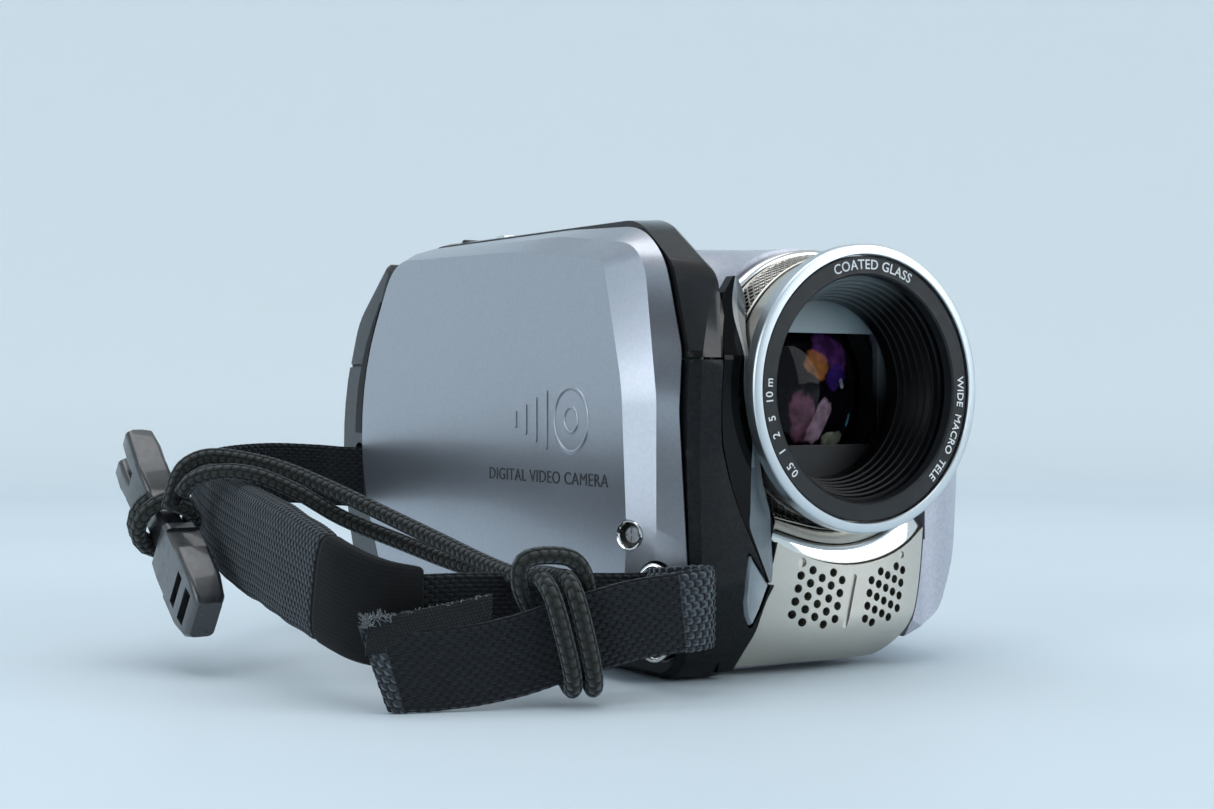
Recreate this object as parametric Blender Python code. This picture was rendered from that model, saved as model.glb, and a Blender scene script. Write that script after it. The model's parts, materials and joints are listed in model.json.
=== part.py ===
"""Palm-size hard-disk camcorder, built as an assembly of separate parts.

Lengths below are in millimetres and become metres when a mesh is made.
X runs from the hand-grip side (-X) to the screen side (+X), the lens looks
along -Y, and the base stands on Z = 0.
"""
import math

import bmesh
import bpy
from mathutils import Matrix, Vector

MM = 0.001
GAP = 0.35          # clearance between neighbouring pieces
WALL = 1.7          # thickness of the moulded shells
ARC = 5             # points on each rounded corner

# Main planes of the body
GRIP_X = -31.0      # flat face of the hard-disk cover
COVER_X = -24.5     # inner rim of the hard-disk cover
BAND_X = -15.2      # right-hand side of the dark centre band
SIDE_X = 24.7       # wall behind the closed screen
DOOR_X = 34.5       # outer face of the closed screen
SEAM_Z = 47.8       # joint line between upper and lower dark shells
TOP_Z = 69.6
REAR_Y = 55.5

# Lens
LENS_X = 6.4
LENS_Z = 43.4
RING_FRONT_Y = -55.5
RING_R = 22.05
NAME_R = 20.2
OPENING_R = 16.8
BARREL_R = 20.3
HOUSING_FRONT_Y = -39.8
WINDOW_W = 24.0     # rectangular opening of the lens baffle
WINDOW_H = 17.6
SEGMENTS = 48
ZOOM_GROUP_Y = -24.0
FOCUS_GROUP_Y = -8.0
ROD_X = (-9.0, 9.0)

# Screen door
HINGE_X = 29.85
HINGE_Y = -34.6
DOOR_Z = (7.0, 59.0)
DOOR_HALF = 4.45

# Small parts on the body
TRIPOD = (4.0, -8.0, 0.0)
BAY_BUTTON_Y = (-14.0, -4.0, 6.0)
BAY_BUTTON_Z = 50.0
BAY_BUTTON_R = 1.9
CARD_DOOR = ((12.0, 4.0, 0.1), (21.0, 30.0, 1.5))
TOP_CONTROL_X = -19.7
ZOOM_Y = 20.0
SNAP_Y = 8.0
DIAL = (-19.6, 54.0, 37.5)
DIAL_R = 7.6
RECORD_R = 4.3
JACK_COVER = ((-26.0, 50.6, 13.0), (-13.0, 53.6, 25.0))
BATTERY = ((-8.6, 36.7, 8.0), (23.8, REAR_Y, 60.0))
RAIL_X = (0.0, 16.0)

# Hand strap
BELT_W = 11.0
BELT_T = 1.6
PAD_EXTRA = (1.0, 4.6)      # pad height beyond the belt: at its ends, and more at its middle
PAD_T = (2.2, 2.8)          # pad thickness at its ends, and more at its middle
FRONT_BELT = ((-28.3, -48.5, 10.6), (-30.0, -50.6, 10.7), (-29.9, -54.0, 10.8), (-27.9, -57.2, 11.0),
              (-27.4, -60.0, 11.1), (-29.6, -61.8, 11.1), (-33.6, -61.2, 11.1), (-39.4, -59.2, 10.8),
              (-47.0, -56.6, 9.6), (-56.0, -53.3, 7.0), (-64.0, -50.2, 6.0), (-70.5, -46.4, 6.6))
PAD = ((-70.6, -44.2, 8.0), (-71.4, -34.0, 10.6), (-71.6, -16.0, 14.4), (-70.8, 2.0, 18.0),
       (-69.0, 18.0, 21.6), (-66.6, 31.0, 24.6), (-63.2, 40.0, 26.4))
REAR_BELT = ((-62.6, 40.9, 26.6), (-56.0, 48.4, 27.6), (-46.0, 52.8, 28.0), (-37.0, 52.8, 27.6),
             (-32.6, 50.6, 27.2), (-28.6, 48.6, 27.0))
EYELET = (-28.2, -48.4, 10.9)
EYELET_OUT = Vector((-0.8, -0.6, 0.0))
EYELET_ACROSS = Vector((0.6, -0.8, 0.0))
EYELET_HALF = (3.7, 7.2)

# Wrist cord and its buckle
CORD_D = 2.5
BUCKLE_T = 5.4
BUCKLE_TOP = Vector((-79.7, 29.0, 33.4))
BUCKLE_END = Vector((-79.3, -3.0, 8.6))
COIL = (15.3, 21.6)         # stretch of the buckle's neck under the cord's turns
COIL_HALF = (3.4, 2.75)
CORD = ((-78.9, 11.0, 29.1), (-77.4, 10.6, 31.4), (-74.2, 9.6, 32.8), (-69.6, 7.0, 32.4),
        (-64.4, 2.4, 30.8), (-59.6, -5.4, 27.8), (-54.0, -17.5, 23.6), (-48.6, -28.6, 20.8),
        (-45.4, -38.0, 19.0), (-44.6, -48.6, 18.2))
CORD_BACK = ((-41.4, -48.0, 18.2), (-41.8, -38.0, 16.4), (-45.6, -28.1, 17.2), (-51.6, -16.9, 19.6),
             (-58.6, -6.9, 23.2), (-64.2, -2.4, 27.4), (-69.6, 0.6, 30.0), (-74.0, 3.6, 30.6),
             (-77.6, 6.6, 29.4), (-78.9, 8.4, 27.1))
HITCH = Vector((-44.6, -57.0, 10.0))
HITCH_HALF = ((1.9, -4.0, 9.0), (1.9, 0.2, 8.7), (1.9, 3.1, 4.8), (1.9, 3.1, -4.8), (1.9, 0.0, -8.4),
              (2.2, -2.9, -4.4), (3.8, -3.6, 2.6), (5.2, -3.0, 8.0), (3.4, -2.6, 11.9))
HITCH_ALONG = Vector((-0.957, 0.290, 0.0))
HITCH_OUT = Vector((-0.290, -0.957, 0.0))

UP = Vector((0, 0, 1))


# ---------------------------------------------------------------- helpers

def clear_scene():
    """Remove every object of the start-up scene."""
    for obj in list(bpy.data.objects):
        bpy.data.objects.remove(obj)


def material(name, colour, roughness, metallic=0.0):
    """Principled material, shared by name."""
    found = bpy.data.materials.get(name)
    if found:
        return found
    mat = bpy.data.materials.new(name)
    mat.use_nodes = True
    shader = mat.node_tree.nodes["Principled BSDF"]
    shader.inputs["Base Color"].default_value = (*colour, 1.0)
    shader.inputs["Roughness"].default_value = roughness
    shader.inputs["Metallic"].default_value = metallic
    return mat


def silver():
    return material("silver_paint", (0.36, 0.37, 0.42), 0.35, 0.6)


def lavender():
    return material("lavender_paint", (0.50, 0.50, 0.56), 0.35, 0.6)


def dark_gloss():
    return material("dark_gloss", (0.035, 0.030, 0.028), 0.2, 0.3)


def dark_grey():
    return material("dark_grey_paint", (0.05, 0.05, 0.055), 0.4, 0.4)


def champagne():
    return material("champagne_paint", (0.62, 0.58, 0.50), 0.35, 0.7)


def chrome():
    return material("chrome", (0.85, 0.85, 0.86), 0.12, 1.0)


def black_plastic():
    return material("black_plastic", (0.012, 0.012, 0.013), 0.5)


def black_gloss():
    return material("black_gloss", (0.004, 0.004, 0.005), 0.08)


def glass():
    return material("lens_glass", (0.10, 0.06, 0.14), 0.03)


def steel():
    return material("steel", (0.60, 0.60, 0.60), 0.3, 1.0)


def board_green():
    return material("board_green", (0.02, 0.12, 0.05), 0.5)


def webbing():
    return material("black_webbing", (0.010, 0.011, 0.014), 0.9)


def cord_black():
    return material("black_cord", (0.020, 0.020, 0.018), 0.85)


def clear_plastic():
    return material("clear_plastic", (0.55, 0.57, 0.60), 0.15)


def finish(name, bm, mat, origin=(0, 0, 0), smooth_angle=35):
    """Turn a bmesh in millimetres into a named object."""
    bmesh.ops.recalc_face_normals(bm, faces=bm.faces)
    shift = Matrix.Translation(-Vector(origin))
    bmesh.ops.transform(bm, matrix=Matrix.Scale(MM, 4) @ shift, verts=bm.verts)
    mesh = bpy.data.meshes.new(name)
    bm.to_mesh(mesh)
    bm.free()
    mesh.materials.append(mat)
    mesh.shade_smooth()
    mesh.set_sharp_from_angle(angle=math.radians(smooth_angle))
    obj = bpy.data.objects.new(name, mesh)
    obj.location = Vector(origin) * MM
    bpy.context.scene.collection.objects.link(obj)
    return obj


def cutter(name, bm):
    """Guide solid for a Boolean; it isn't a part."""
    obj = finish(name, bm, black_plastic())
    obj.hide_render = True
    obj.display_type = "WIRE"
    return obj


def cut(obj, tool, operation="DIFFERENCE"):
    """Add an exact Boolean with a guide solid."""
    mod = obj.modifiers.new("cut_" + tool.name, "BOOLEAN")
    mod.operation = operation
    mod.object = tool
    mod.solver = "EXACT"


def rounded(corners, points=ARC):
    """Closed outline through (a, b, radius) corners, each one rounded."""
    out = []
    count = len(corners)
    for i, (a, b, radius, *own) in enumerate(corners):
        steps = own[0] if own else points
        here = Vector((a, b))
        before = Vector(corners[i - 1][:2]) - here
        after = Vector(corners[(i + 1) % count][:2]) - here
        before.normalize()
        after.normalize()
        half = before.angle(after) / 2
        reach = radius / math.tan(half)
        start = here + before * reach
        end = here + after * reach
        centre = here + (before + after).normalized() * (radius / math.sin(half))
        from_centre = start - centre
        turn = from_centre.angle_signed(end - centre)
        for k in range(steps):
            angle = -turn * k / (steps - 1)
            spin = Matrix.Rotation(angle, 2)
            out.append(centre + spin @ from_centre)
    return out


def inset(outline, distance):
    """Outline moved inwards by a constant distance."""
    count = len(outline)
    area = sum(outline[i - 1].cross(outline[i]) for i in range(count))
    side = 1.0 if area > 0 else -1.0
    out = []
    for i, here in enumerate(outline):
        along = (outline[(i + 1) % count] - outline[i - 1]).normalized()
        out.append(here + Vector((-along.y, along.x)) * side * distance)
    return out


def place(point, level, axis):
    """2-D outline point at a level along an axis, as a 3-D point."""
    if axis == "X":
        return Vector((level, point[0], point[1]))
    if axis == "Y":
        return Vector((point[0], level, point[1]))
    return Vector((point[0], point[1], level))


def loft(sections, closed=False):
    """Solid through rings of 3-D points; closed joins last ring to first."""
    bm = bmesh.new()
    rings = [[bm.verts.new(p) for p in ring] for ring in sections]
    pairs = list(zip(rings, rings[1:]))
    if closed:
        pairs.append((rings[-1], rings[0]))
    for low, high in pairs:
        count = len(low)
        for i in range(count):
            j = (i + 1) % count
            bm.faces.new((low[i], low[j], high[j], high[i]))
    if not closed:
        bm.faces.new(rings[0])
        bm.faces.new(rings[-1])
    return bm


def prism(outline, axis, low, high):
    """Outline extruded between two levels along an axis."""
    return loft([[place(p, level, axis) for p in outline] for level in (low, high)])


def block(low, high, radius=0.0, axis="Z"):
    """Box, with rounded edges along one axis."""
    planes = {"X": (1, 2), "Y": (0, 2), "Z": (0, 1)}[axis]
    a, b = planes
    along = {"X": 0, "Y": 1, "Z": 2}[axis]
    if radius:
        outline = rounded([(low[a], low[b], radius), (high[a], low[b], radius),
                           (high[a], high[b], radius), (low[a], high[b], radius)])
    else:
        outline = [Vector((low[a], low[b])), Vector((high[a], low[b])),
                   Vector((high[a], high[b])), Vector((low[a], high[b]))]
    return prism(outline, axis, low[along], high[along])


def around(centre, radius, angle, level, axis):
    """Point at a radius and angle around an axis through centre."""
    a, b = radius * math.cos(angle), radius * math.sin(angle)
    if axis == "X":
        return Vector((level, centre[1] + a, centre[2] + b))
    if axis == "Y":
        return Vector((centre[0] + a, level, centre[2] + b))
    return Vector((centre[0] + a, centre[1] + b, level))


def turned(profile, centre, axis="Y", segments=SEGMENTS):
    """Closed (radius, level) profile turned around an axis through centre."""
    sections = []
    for k in range(segments):
        angle = 2 * math.pi * k / segments
        sections.append([around(centre, radius, angle, level, axis) for radius, level in profile])
    return loft(sections, closed=True)


def circle(centre, radius, level, axis, segments):
    """Ring of points around an axis through centre."""
    return [around(centre, radius, 2 * math.pi * k / segments, level, axis) for k in range(segments)]


def disc(radius, centre, low, high, axis="Y", segments=32, chamfer=0.0):
    """Solid cylinder with optional chamfers."""
    levels = [(radius - chamfer, low), (radius, low + chamfer),
              (radius, high - chamfer), (radius - chamfer, high)]
    if not chamfer:
        levels = [(radius, low), (radius, high)]
    return loft([circle(centre, r, level, axis, segments) for r, level in levels])


def patch(across, along, point, back):
    """Curved plate: a grid of points and the same grid moved by back(point)."""
    bm = bmesh.new()
    front = []
    rear = []
    for j in range(along + 1):
        row = [point(i / across, j / along) for i in range(across + 1)]
        front.append([bm.verts.new(p) for p in row])
        rear.append([bm.verts.new(back(p)) for p in row])
    for j in range(along):
        for i in range(across):
            bm.faces.new((front[j][i], front[j][i + 1], front[j + 1][i + 1], front[j + 1][i]))
            bm.faces.new((rear[j][i], rear[j + 1][i], rear[j + 1][i + 1], rear[j][i + 1]))
    rim = [(j, 0) for j in range(along)] + [(along, i) for i in range(across)]
    rim += [(j, across) for j in range(along, 0, -1)] + [(0, i) for i in range(across, 0, -1)]
    for k, (j, i) in enumerate(rim):
        j2, i2 = rim[(k + 1) % len(rim)]
        bm.faces.new((front[j][i], rear[j][i], rear[j2][i2], front[j2][i2]))
    return bm


def trim(bm, level, keep_above):
    """Cut a solid at a height and close the cut faces."""
    geometry = bm.verts[:] + bm.edges[:] + bm.faces[:]
    result = bmesh.ops.bisect_plane(bm, geom=geometry, dist=1e-5, plane_co=(0, 0, level),
                                    plane_no=(0, 0, 1), clear_inner=keep_above,
                                    clear_outer=not keep_above)
    edges = [item for item in result["geom_cut"] if isinstance(item, bmesh.types.BMEdge)]
    bmesh.ops.edgeloop_fill(bm, edges=edges)
    return bm


def add(obj, tool):
    """Union with a guide solid that overlaps the part."""
    cut(obj, tool, "UNION")


def arc(centre, radius, start, end, count):
    """Points on an arc, angles in degrees."""
    out = []
    for k in range(count):
        angle = math.radians(start + (end - start) * k / (count - 1))
        out.append(Vector((centre[0] + radius * math.cos(angle),
                           centre[1] + radius * math.sin(angle))))
    return out


# ---------------------------------------------------------------- outer shells

def cover_outline(level):
    """Side outlines of the hard-disk cover: face, bevel edge and rim."""
    corners = {
        "face": [(-43.6, 6.0, 4), (-44.8, 22, 20), (-43.0, 43, 20), (-37.6, 65.3, 8),
                 (31.0, 66.3, 10), (50.0, 37.5, 37, 9), (34.0, 6.0, 8)],
        "bevel": [(-46.5, 4.2, 4), (-48.4, 20, 12), (-48.6, 43, 12), (-42.6, 67.2, 9),
                  (32.0, 67.7, 10), (51.0, 37.5, 37, 9), (35.0, 4.2, 8)],
        "rim": [(-48.5, 3.0, 4), (-51.8, 16, 6), (-49.6, 43, 9), (-43.6, 68.6, 13),
                (32.5, 68.6, 10), (51.5, 37.5, 37, 9), (35.5, 3.0, 8)],
    }
    return rounded(corners[level])


def grip_side_cover(eyelet):
    """Bulged cover over the hard disk, an open tray."""
    levels = [(GRIP_X, "face", 0.0), (-28.2, "bevel", 0.0), (COVER_X, "rim", 0.0),
              (COVER_X, "rim", WALL), (-27.6, "bevel", WALL), (GRIP_X + WALL, "face", WALL)]
    sections = []
    for x, level, depth in levels:
        outline = cover_outline(level)
        if depth:
            outline = inset(outline, depth)
        sections.append([place(p, x, "X") for p in outline])
    cover = finish("grip_side_cover", loft(sections), silver(), smooth_angle=12)
    screw = cutter("screw_hole_guide", disc(1.9, (0, -43.4, 22.5), -33, -29.6, "X", 24))
    cut(cover, screw)
    cut(cover, eyelet)
    return cover


def band_outline(x):
    """Side outline of the dark centre band at one of its three stations."""
    corners = {
        -24.2: [(-46.5, 1.2, 5), (-51.6, 14, 8), (-49.8, 34, 12), (-51.4, 48, 6),
                (-47.6, 61.5, 8), (-38.0, 69.0, 10), (31.0, 69.0, 11), (50.4, 37.5, 37, 9), (34.6, 1.2, 10)],
        -19.5: [(-47.5, 0.0, 6), (-52.9, 14, 8), (-52.5, 34, 12), (-52.8, 47, 6),
                (-49.6, 60.0, 8), (-36.0, TOP_Z, 12), (31.0, TOP_Z, 11), (50.4, 37.5, 37, 9), (34.6, 0.0, 10)],
        BAND_X: [(-47.5, 0.0, 6), (-52.9, 14, 8), (-52.5, 34, 12), (-51.8, 47, 6),
                 (-45.0, 61.0, 8), (-32.0, 68.0, 12), (31.0, 68.2, 11), (50.4, 37.5, 37, 9), (34.6, 0.0, 10)],
    }
    return rounded(corners[x])


def band_ring():
    """Tube-like shell of the centre band, open on both sides."""
    stations = [-24.2, -19.5, BAND_X]
    outer = [[place(p, x, "X") for p in band_outline(x)] for x in stations]
    inner = [[place(p, x, "X") for p in inset(band_outline(-24.2), 2.6)] for x in stations]
    return loft(outer + inner[::-1], closed=True)


def window_outline(extra=0.0):
    """Front outline of the almond-shaped side window."""
    radius = BARREL_R + 0.55 - extra
    barrel = arc((LENS_X, LENS_Z), radius, 140, 213, 12)
    left = [Vector(p) for p in ((-9.2 + extra, 25.0), (-9.0 + extra, 19.0), (-10.4, 14.6 - extra),
                                (-12.9 - extra, 19.5), (-16.6 - extra, 29), (-18.7 - extra, 36),
                                (-19.1 - extra, 43), (-18.4 - extra, 50), (-16.2 - extra, 56.5),
                                (-12.0, 60.4 + extra))]
    return barrel + left


def lamp_outline(extra=0.0):
    """Front outline of the small clear lamp window."""
    return rounded([(-14.6 - extra, 15.3 + extra, 0.4), (-13.4 - extra, 7.2 - extra, 2.0),
                    (-11.0 + extra, 5.6 - extra, 1.2), (-9.9 + extra, 12.2, 0.8),
                    (-11.2 + extra, 14.0 + extra, 0.4)], 4)


def front_pocket_cutters():
    """Pockets for the side window and the lamp window in the dark shells."""
    window = cutter("window_pocket_guide", prism(window_outline(GAP), "Y", -60, -50.2))
    lamp = cutter("lamp_pocket_guide", prism(lamp_outline(GAP), "Y", -60, -50.0))
    return window, lamp


def top_cover(window):
    """Upper dark shell with the zoom lever and snapshot button seats."""
    upper = trim(band_ring(), SEAM_Z + GAP / 2, True)
    cover = finish("top_cover", upper, dark_gloss(), smooth_angle=25)
    cut(cover, window)
    for name, y, radius in (("zoom", ZOOM_Y, 3.6), ("snap", SNAP_Y, 2.9)):
        seat = disc(radius + GAP, (TOP_CONTROL_X, y, 0), 68.1, 75, "Z", 24)
        cut(cover, cutter(name + "_seat_guide", seat))
    return cover


def nose_block():
    """Lower front corner of the dark frame, beside the champagne panel."""
    outline = [Vector(p) for p in ((-17.5, 2.2), (-14.4, 1.6), (-13.2, 4.2), (-11.0, 9.6),
                                   (-9.3, 15.4), (-8.4, 22.5), (-12.5, 31.0), (-17.5, 31.0))]
    return prism(outline, "Y", -52.2, -47.2)


def front_frame(window, lamp, eyelet):
    """Lower dark shell: front, base strip and rear of the centre band."""
    lower = trim(band_ring(), SEAM_Z - GAP / 2, False)
    frame = finish("front_frame", lower, dark_grey(), smooth_angle=25)
    add(frame, cutter("nose_guide", nose_block()))
    cut(frame, window)
    cut(frame, lamp)
    cut(frame, eyelet)
    return frame


def rear_outline():
    """Side outline of the rounded rear of the grip: its outside, and the
    stretch that hugs the rim of the hard-disk cover."""
    bulge = rounded([(28.0, 2.0, 1), (51.5, 10.0, 13), (58.2, 37.0, 40, 7), (49.5, 56.5, 14),
                     (28.0, 74.1, 1)])
    outer = [Vector((41.2, 6.6))] + bulge[ARC:-ARC] + [Vector((37.2, 66.5))]
    rim = inset(cover_outline("rim"), -0.6)
    return outer, rim[24:35]


def rear_shell(name, upper):
    """Half of the rear housing, above or below the seam."""
    outer, hug = rear_outline()
    bevelled = inset(outer + hug, 0.8)[:len(outer)]
    sections = [(-29.6, bevelled + hug), (-28.6, outer + hug), (-9.6, outer + hug)]
    solid = loft([[place(p, x, "X") for p in ring] for x, ring in sections])
    side = 1 if upper else -1
    trim(solid, SEAM_Z + side * GAP / 2, upper)
    return finish(name, solid, dark_grey(), smooth_angle=25)


def rear_lower_housing():
    """Lower rear shell with seats for the dial, the jack cover and the belt."""
    shell = rear_shell("rear_lower_housing", False)
    cut(shell, cutter("dial_seat_guide", disc(DIAL_R + GAP, DIAL, 53.4, 65, "Y", 32)))
    low, high = JACK_COVER
    pocket = block((low[0] - GAP, low[1] - GAP, low[2] - 1.2), (high[0] + GAP, 65, high[2] + GAP))
    cut(shell, cutter("jack_pocket_guide", pocket))
    slot = block((-35, 46.6, 20.5), (-25.5, 50.2, 33.5), 1.6, "X")
    cut(shell, cutter("rear_slot_guide", slot))
    return shell


def housing_outline(y):
    """Front outline of the lens housing at two stations."""
    corners = {
        "front": [(-14.8, 0.0, 2), (SIDE_X, 0.0, 3), (SIDE_X, 65.6, 19.0), (-14.8, 65.6, 19.0)],
        "rear": [(-14.8, 0.0, 2), (SIDE_X, 0.0, 3), (SIDE_X, 66.4, 10), (-14.8, 66.4, 5)],
    }
    return rounded(corners[y], 6)


def lens_housing():
    """Lavender shell around the lens block and the main board."""
    outer = [(HOUSING_FRONT_Y, "front"), (-12.0, "rear"), (33.5, "rear")]
    inner = [(33.5, "rear"), (-12.0, "rear"), (HOUSING_FRONT_Y + WALL, "front")]
    sections = [[place(p, y, "Y") for p in housing_outline(kind)] for y, kind in outer]
    sections += [[place(p, y, "Y") for p in inset(housing_outline(kind), WALL)]
                 for y, kind in inner]
    shell = finish("lens_housing", loft(sections), lavender(), smooth_angle=25)
    cut(shell, cutter("lens_bore_guide", disc(17.2, (LENS_X, 0, LENS_Z), -45, -35, "Y", SEGMENTS)))
    cut(shell, cutter("tripod_hole_guide", disc(6.4, TRIPOD, -3, 4, "Z", 24)))
    for y in BAY_BUTTON_Y:
        hole = disc(BAY_BUTTON_R + GAP, (0, y, BAY_BUTTON_Z), SIDE_X - 5, SIDE_X + 3, "X", 20)
        cut(shell, cutter("bay_hole_%d" % y, hole))
    door_low, door_high = CARD_DOOR
    slot = block((door_low[0] - GAP, door_low[1] - GAP, -3), (door_high[0] + GAP, door_high[1] + GAP, 4))
    cut(shell, cutter("card_slot_guide", slot))
    return shell


def corner_front(x):
    """Front edge of the champagne panel and corner cover, seen from above."""
    if x < 22.5:
        return -52.2 + ((x - 5.0) / 19.0) ** 2 * 3.0
    t = (x - 22.5) / (DOOR_X - 22.5)
    return -49.7 + 5.2 * t ** 2.2


def front_corner_cover():
    """Rounded corner of the housing in front of the screen hinge."""
    xs = [22.7 + (DOOR_X - 22.7) * k / 8 for k in range(9)]
    front = [Vector((x, corner_front(x))) for x in xs]
    plan = front + [Vector((DOOR_X, -39.8)), Vector((22.7, -39.8))]
    cover = finish("front_corner_cover", prism(plan, "Z", 0.8, 60.0), lavender(), smooth_angle=25)
    outline = rounded([(10, 0.8, 1), (DOOR_X, 0.8, 11), (DOOR_X, 58.0, 14), (10, 61.0, 1)], 8)
    cut(cover, cutter("corner_form_guide", prism(outline, "Y", -60, -30)), "INTERSECT")
    ring = disc(RING_R + 0.4, (LENS_X, 0, LENS_Z), -60, -30, "Y", SEGMENTS)
    cut(cover, cutter("corner_ring_guide", ring))
    hinge = disc(DOOR_HALF + 0.5, (HINGE_X, HINGE_Y, 0), DOOR_Z[0] - 0.5, DOOR_Z[1] + 3, "Z", 32)
    cut(cover, cutter("corner_hinge_guide", hinge))
    lug = block((SIDE_X + GAP, -41.5, 0.8), (DOOR_X - 0.6, -30.8, DOOR_Z[0] - 0.5), 3.0)
    add(cover, cutter("hinge_lug_guide", lug))
    socket = disc(1.3 + GAP, (HINGE_X, HINGE_Y, 0), DOOR_Z[0] - 3.5, DOOR_Z[0] + 1, "Z", 20)
    cut(cover, cutter("hinge_socket_guide", socket))
    return cover


def panel_point(u, v):
    """Point on the champagne front panel: u across, v from base to lens."""
    low_left, low_right = -12.4, 18.5
    base_z = 1.4
    x_low = low_left + (low_right - low_left) * u
    angle = math.radians(-121.5 + 67.5 * u)
    x_high = LENS_X + 27.0 * math.cos(angle)
    z_high = LENS_Z + 27.0 * math.sin(angle)
    x = x_low + (x_high - x_low) * v ** 0.6
    z = base_z + (z_high - base_z) * v
    y = corner_front(x)
    if z < 9.0:
        y += 5.0 * ((9.0 - z) / 7.6) ** 2.2
    return Vector((x, y, z))


def front_panel():
    """Convex champagne panel with the microphones behind it."""
    return finish("front_panel", patch(10, 7, panel_point, lambda p: p + Vector((0, 1.5, 0))),
                  champagne(), smooth_angle=30)


def crescent_point(u, v):
    """Point on the polished crescent: u along the arc, v outwards."""
    angle = math.radians(-122 + 64 * u)
    radius = 21.7 + (26.6 - 21.7) * v
    x = LENS_X + radius * math.cos(angle)
    z = LENS_Z + radius * math.sin(angle)
    y = -47.6 - 3.6 * v ** 1.5 + 2.0 * abs(2 * u - 1) ** 3
    return Vector((x, y, z))


def crescent_trim():
    """Mirror-polished crescent between the panel and the lens ring."""
    return finish("crescent_trim", patch(14, 3, crescent_point, lambda p: p + Vector((0, 1.2, 0))),
                  chrome())


def side_window():
    """Glossy black window beside the lens."""
    outline = window_outline()
    return finish("side_window", prism(outline, "Y", -52.6, -50.6), black_gloss())


def lamp_window():
    """Clear cap over the small lamp."""
    return finish("lamp_window", prism(lamp_outline(), "Y", -52.6, -50.4), clear_plastic())


def rear_cover():
    """Rear wall of the lens side, with the battery rails."""
    cover = finish("rear_cover", prism(housing_outline("rear"), "Y", 33.85, 35.6), dark_grey())
    for x in RAIL_X:
        rail = block((x - 1.5, 35.3, 20), (x + 1.5, 38.6, 40))
        head = block((x - 2.8, 38.4, 20), (x + 2.8, 39.8, 40))
        add(cover, cutter("rail_guide_%d" % x, rail))
        add(cover, cutter("rail_head_guide_%d" % x, head))
    return cover


# ---------------------------------------------------------------- lens

def lens_turned(name, profile, mat, segments=SEGMENTS):
    return finish(name, turned(profile, (LENS_X, 0, LENS_Z), "Y", segments), mat)


def lens_front_ring():
    """Bevelled satin ring at the very front."""
    front = RING_FRONT_Y
    profile = [(NAME_R + 0.3, front + 0.25), (RING_R - 0.9, front), (RING_R, front + 0.9),
               (RING_R, front + 2.3), (RING_R - 0.5, front + 2.7), (NAME_R + 0.3, front + 2.7)]
    return lens_turned("lens_front_ring", profile, chrome())


def name_ring():
    """Black ring that carries the lens data."""
    front = RING_FRONT_Y
    profile = [(OPENING_R + 0.5, front + 1.0), (OPENING_R + 1.0, front + 0.5), (NAME_R, front + 0.5),
               (NAME_R, front + 2.4), (OPENING_R + 0.5, front + 2.4)]
    return lens_turned("name_ring", profile, black_plastic())


def lens_hood_tube():
    """Ribbed light trap behind the filter thread."""
    ribs = 3
    front_y, rear_y = -52.8, -43.6
    profile = []
    for k in range(ribs):
        y = front_y + (rear_y - front_y) * k / ribs
        radius = OPENING_R - 2.6 * k / ribs
        profile.append((radius + 0.25, y))
        profile.append((radius - 0.25, y + 0.5))
    profile += [(13.9, rear_y), (19.0, rear_y), (19.0, front_y)]
    return lens_turned("lens_hood_tube", profile, black_plastic(), 36)


def aperture_baffle():
    """Plate with the rectangular window in front of the glass."""
    plate = finish("aperture_baffle", disc(18.6, (LENS_X, 0, LENS_Z), -43.2, -42.0, "Y", 48),
                   black_plastic())
    window = block((LENS_X - WINDOW_W / 2, -50, LENS_Z - WINDOW_H / 2),
                   (LENS_X + WINDOW_W / 2, -35, LENS_Z + WINDOW_H / 2), 1.0, "Y")
    cut(plate, cutter("baffle_window_guide", window))
    return plate


def lens_barrel():
    """Champagne band behind the front ring."""
    profile = [(19.4, -52.4), (BARREL_R, -52.4), (BARREL_R, -48.4), (19.4, -48.4)]
    return lens_turned("lens_barrel", profile, champagne())


def knurled_band():
    """Ring that opens the lens cover, with a diamond grip."""
    profile = [(19.4, -48.0), (BARREL_R + 0.2, -48.0), (BARREL_R + 0.5, -47.6),
               (BARREL_R + 0.9, -42.4), (19.4, -42.4)]
    return lens_turned("knurled_band", profile, champagne())


def barrel_trim_ring():
    """Polished ring where the barrel meets the housing."""
    profile = [(19.4, -42.0), (21.6, -42.0), (22.0, -41.6), (22.0, -40.2), (19.4, -40.2)]
    return lens_turned("barrel_trim_ring", profile, chrome())


def front_lens():
    """Domed front element."""
    profile = [(14.2, -36.0), (14.2, -38.4), (12.0, -39.6), (8.5, -40.5), (4.5, -41.0), (1.0, -41.1)]
    sections = [circle((LENS_X, 0, LENS_Z), radius, y, "Y", 32) for radius, y in profile]
    return finish("front_lens", loft(sections), glass(), smooth_angle=60)


def lens_block():
    """Tube that carries the lens groups and the sensor."""
    profile = [(14.6, -38.0), (16.2, -38.0), (16.2, 4.0), (12.0, 4.0), (12.0, 2.4), (14.6, 2.4)]
    return lens_turned("lens_block", profile, black_plastic(), 32)


def lens_group(name, y, thick):
    """Moving lens cell with its glass."""
    cell = finish(name, disc(11.0, (LENS_X, 0, LENS_Z), y, y + thick, "Y", 24), glass(),
                  origin=(LENS_X, y, LENS_Z))
    for x in ROD_X:
        rod = disc(1.3, (LENS_X + x, 0, LENS_Z), y - 2, y + thick + 2, "Y", 12)
        cut(cell, cutter("%s_bore_%d" % (name, x), rod))
    return cell


def guide_rod(name, x):
    """Steel rod on which the lens cells slide."""
    return finish(name, disc(0.9, (LENS_X + x, 0, LENS_Z), -35.4, 2.0, "Y", 12), steel())


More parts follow.
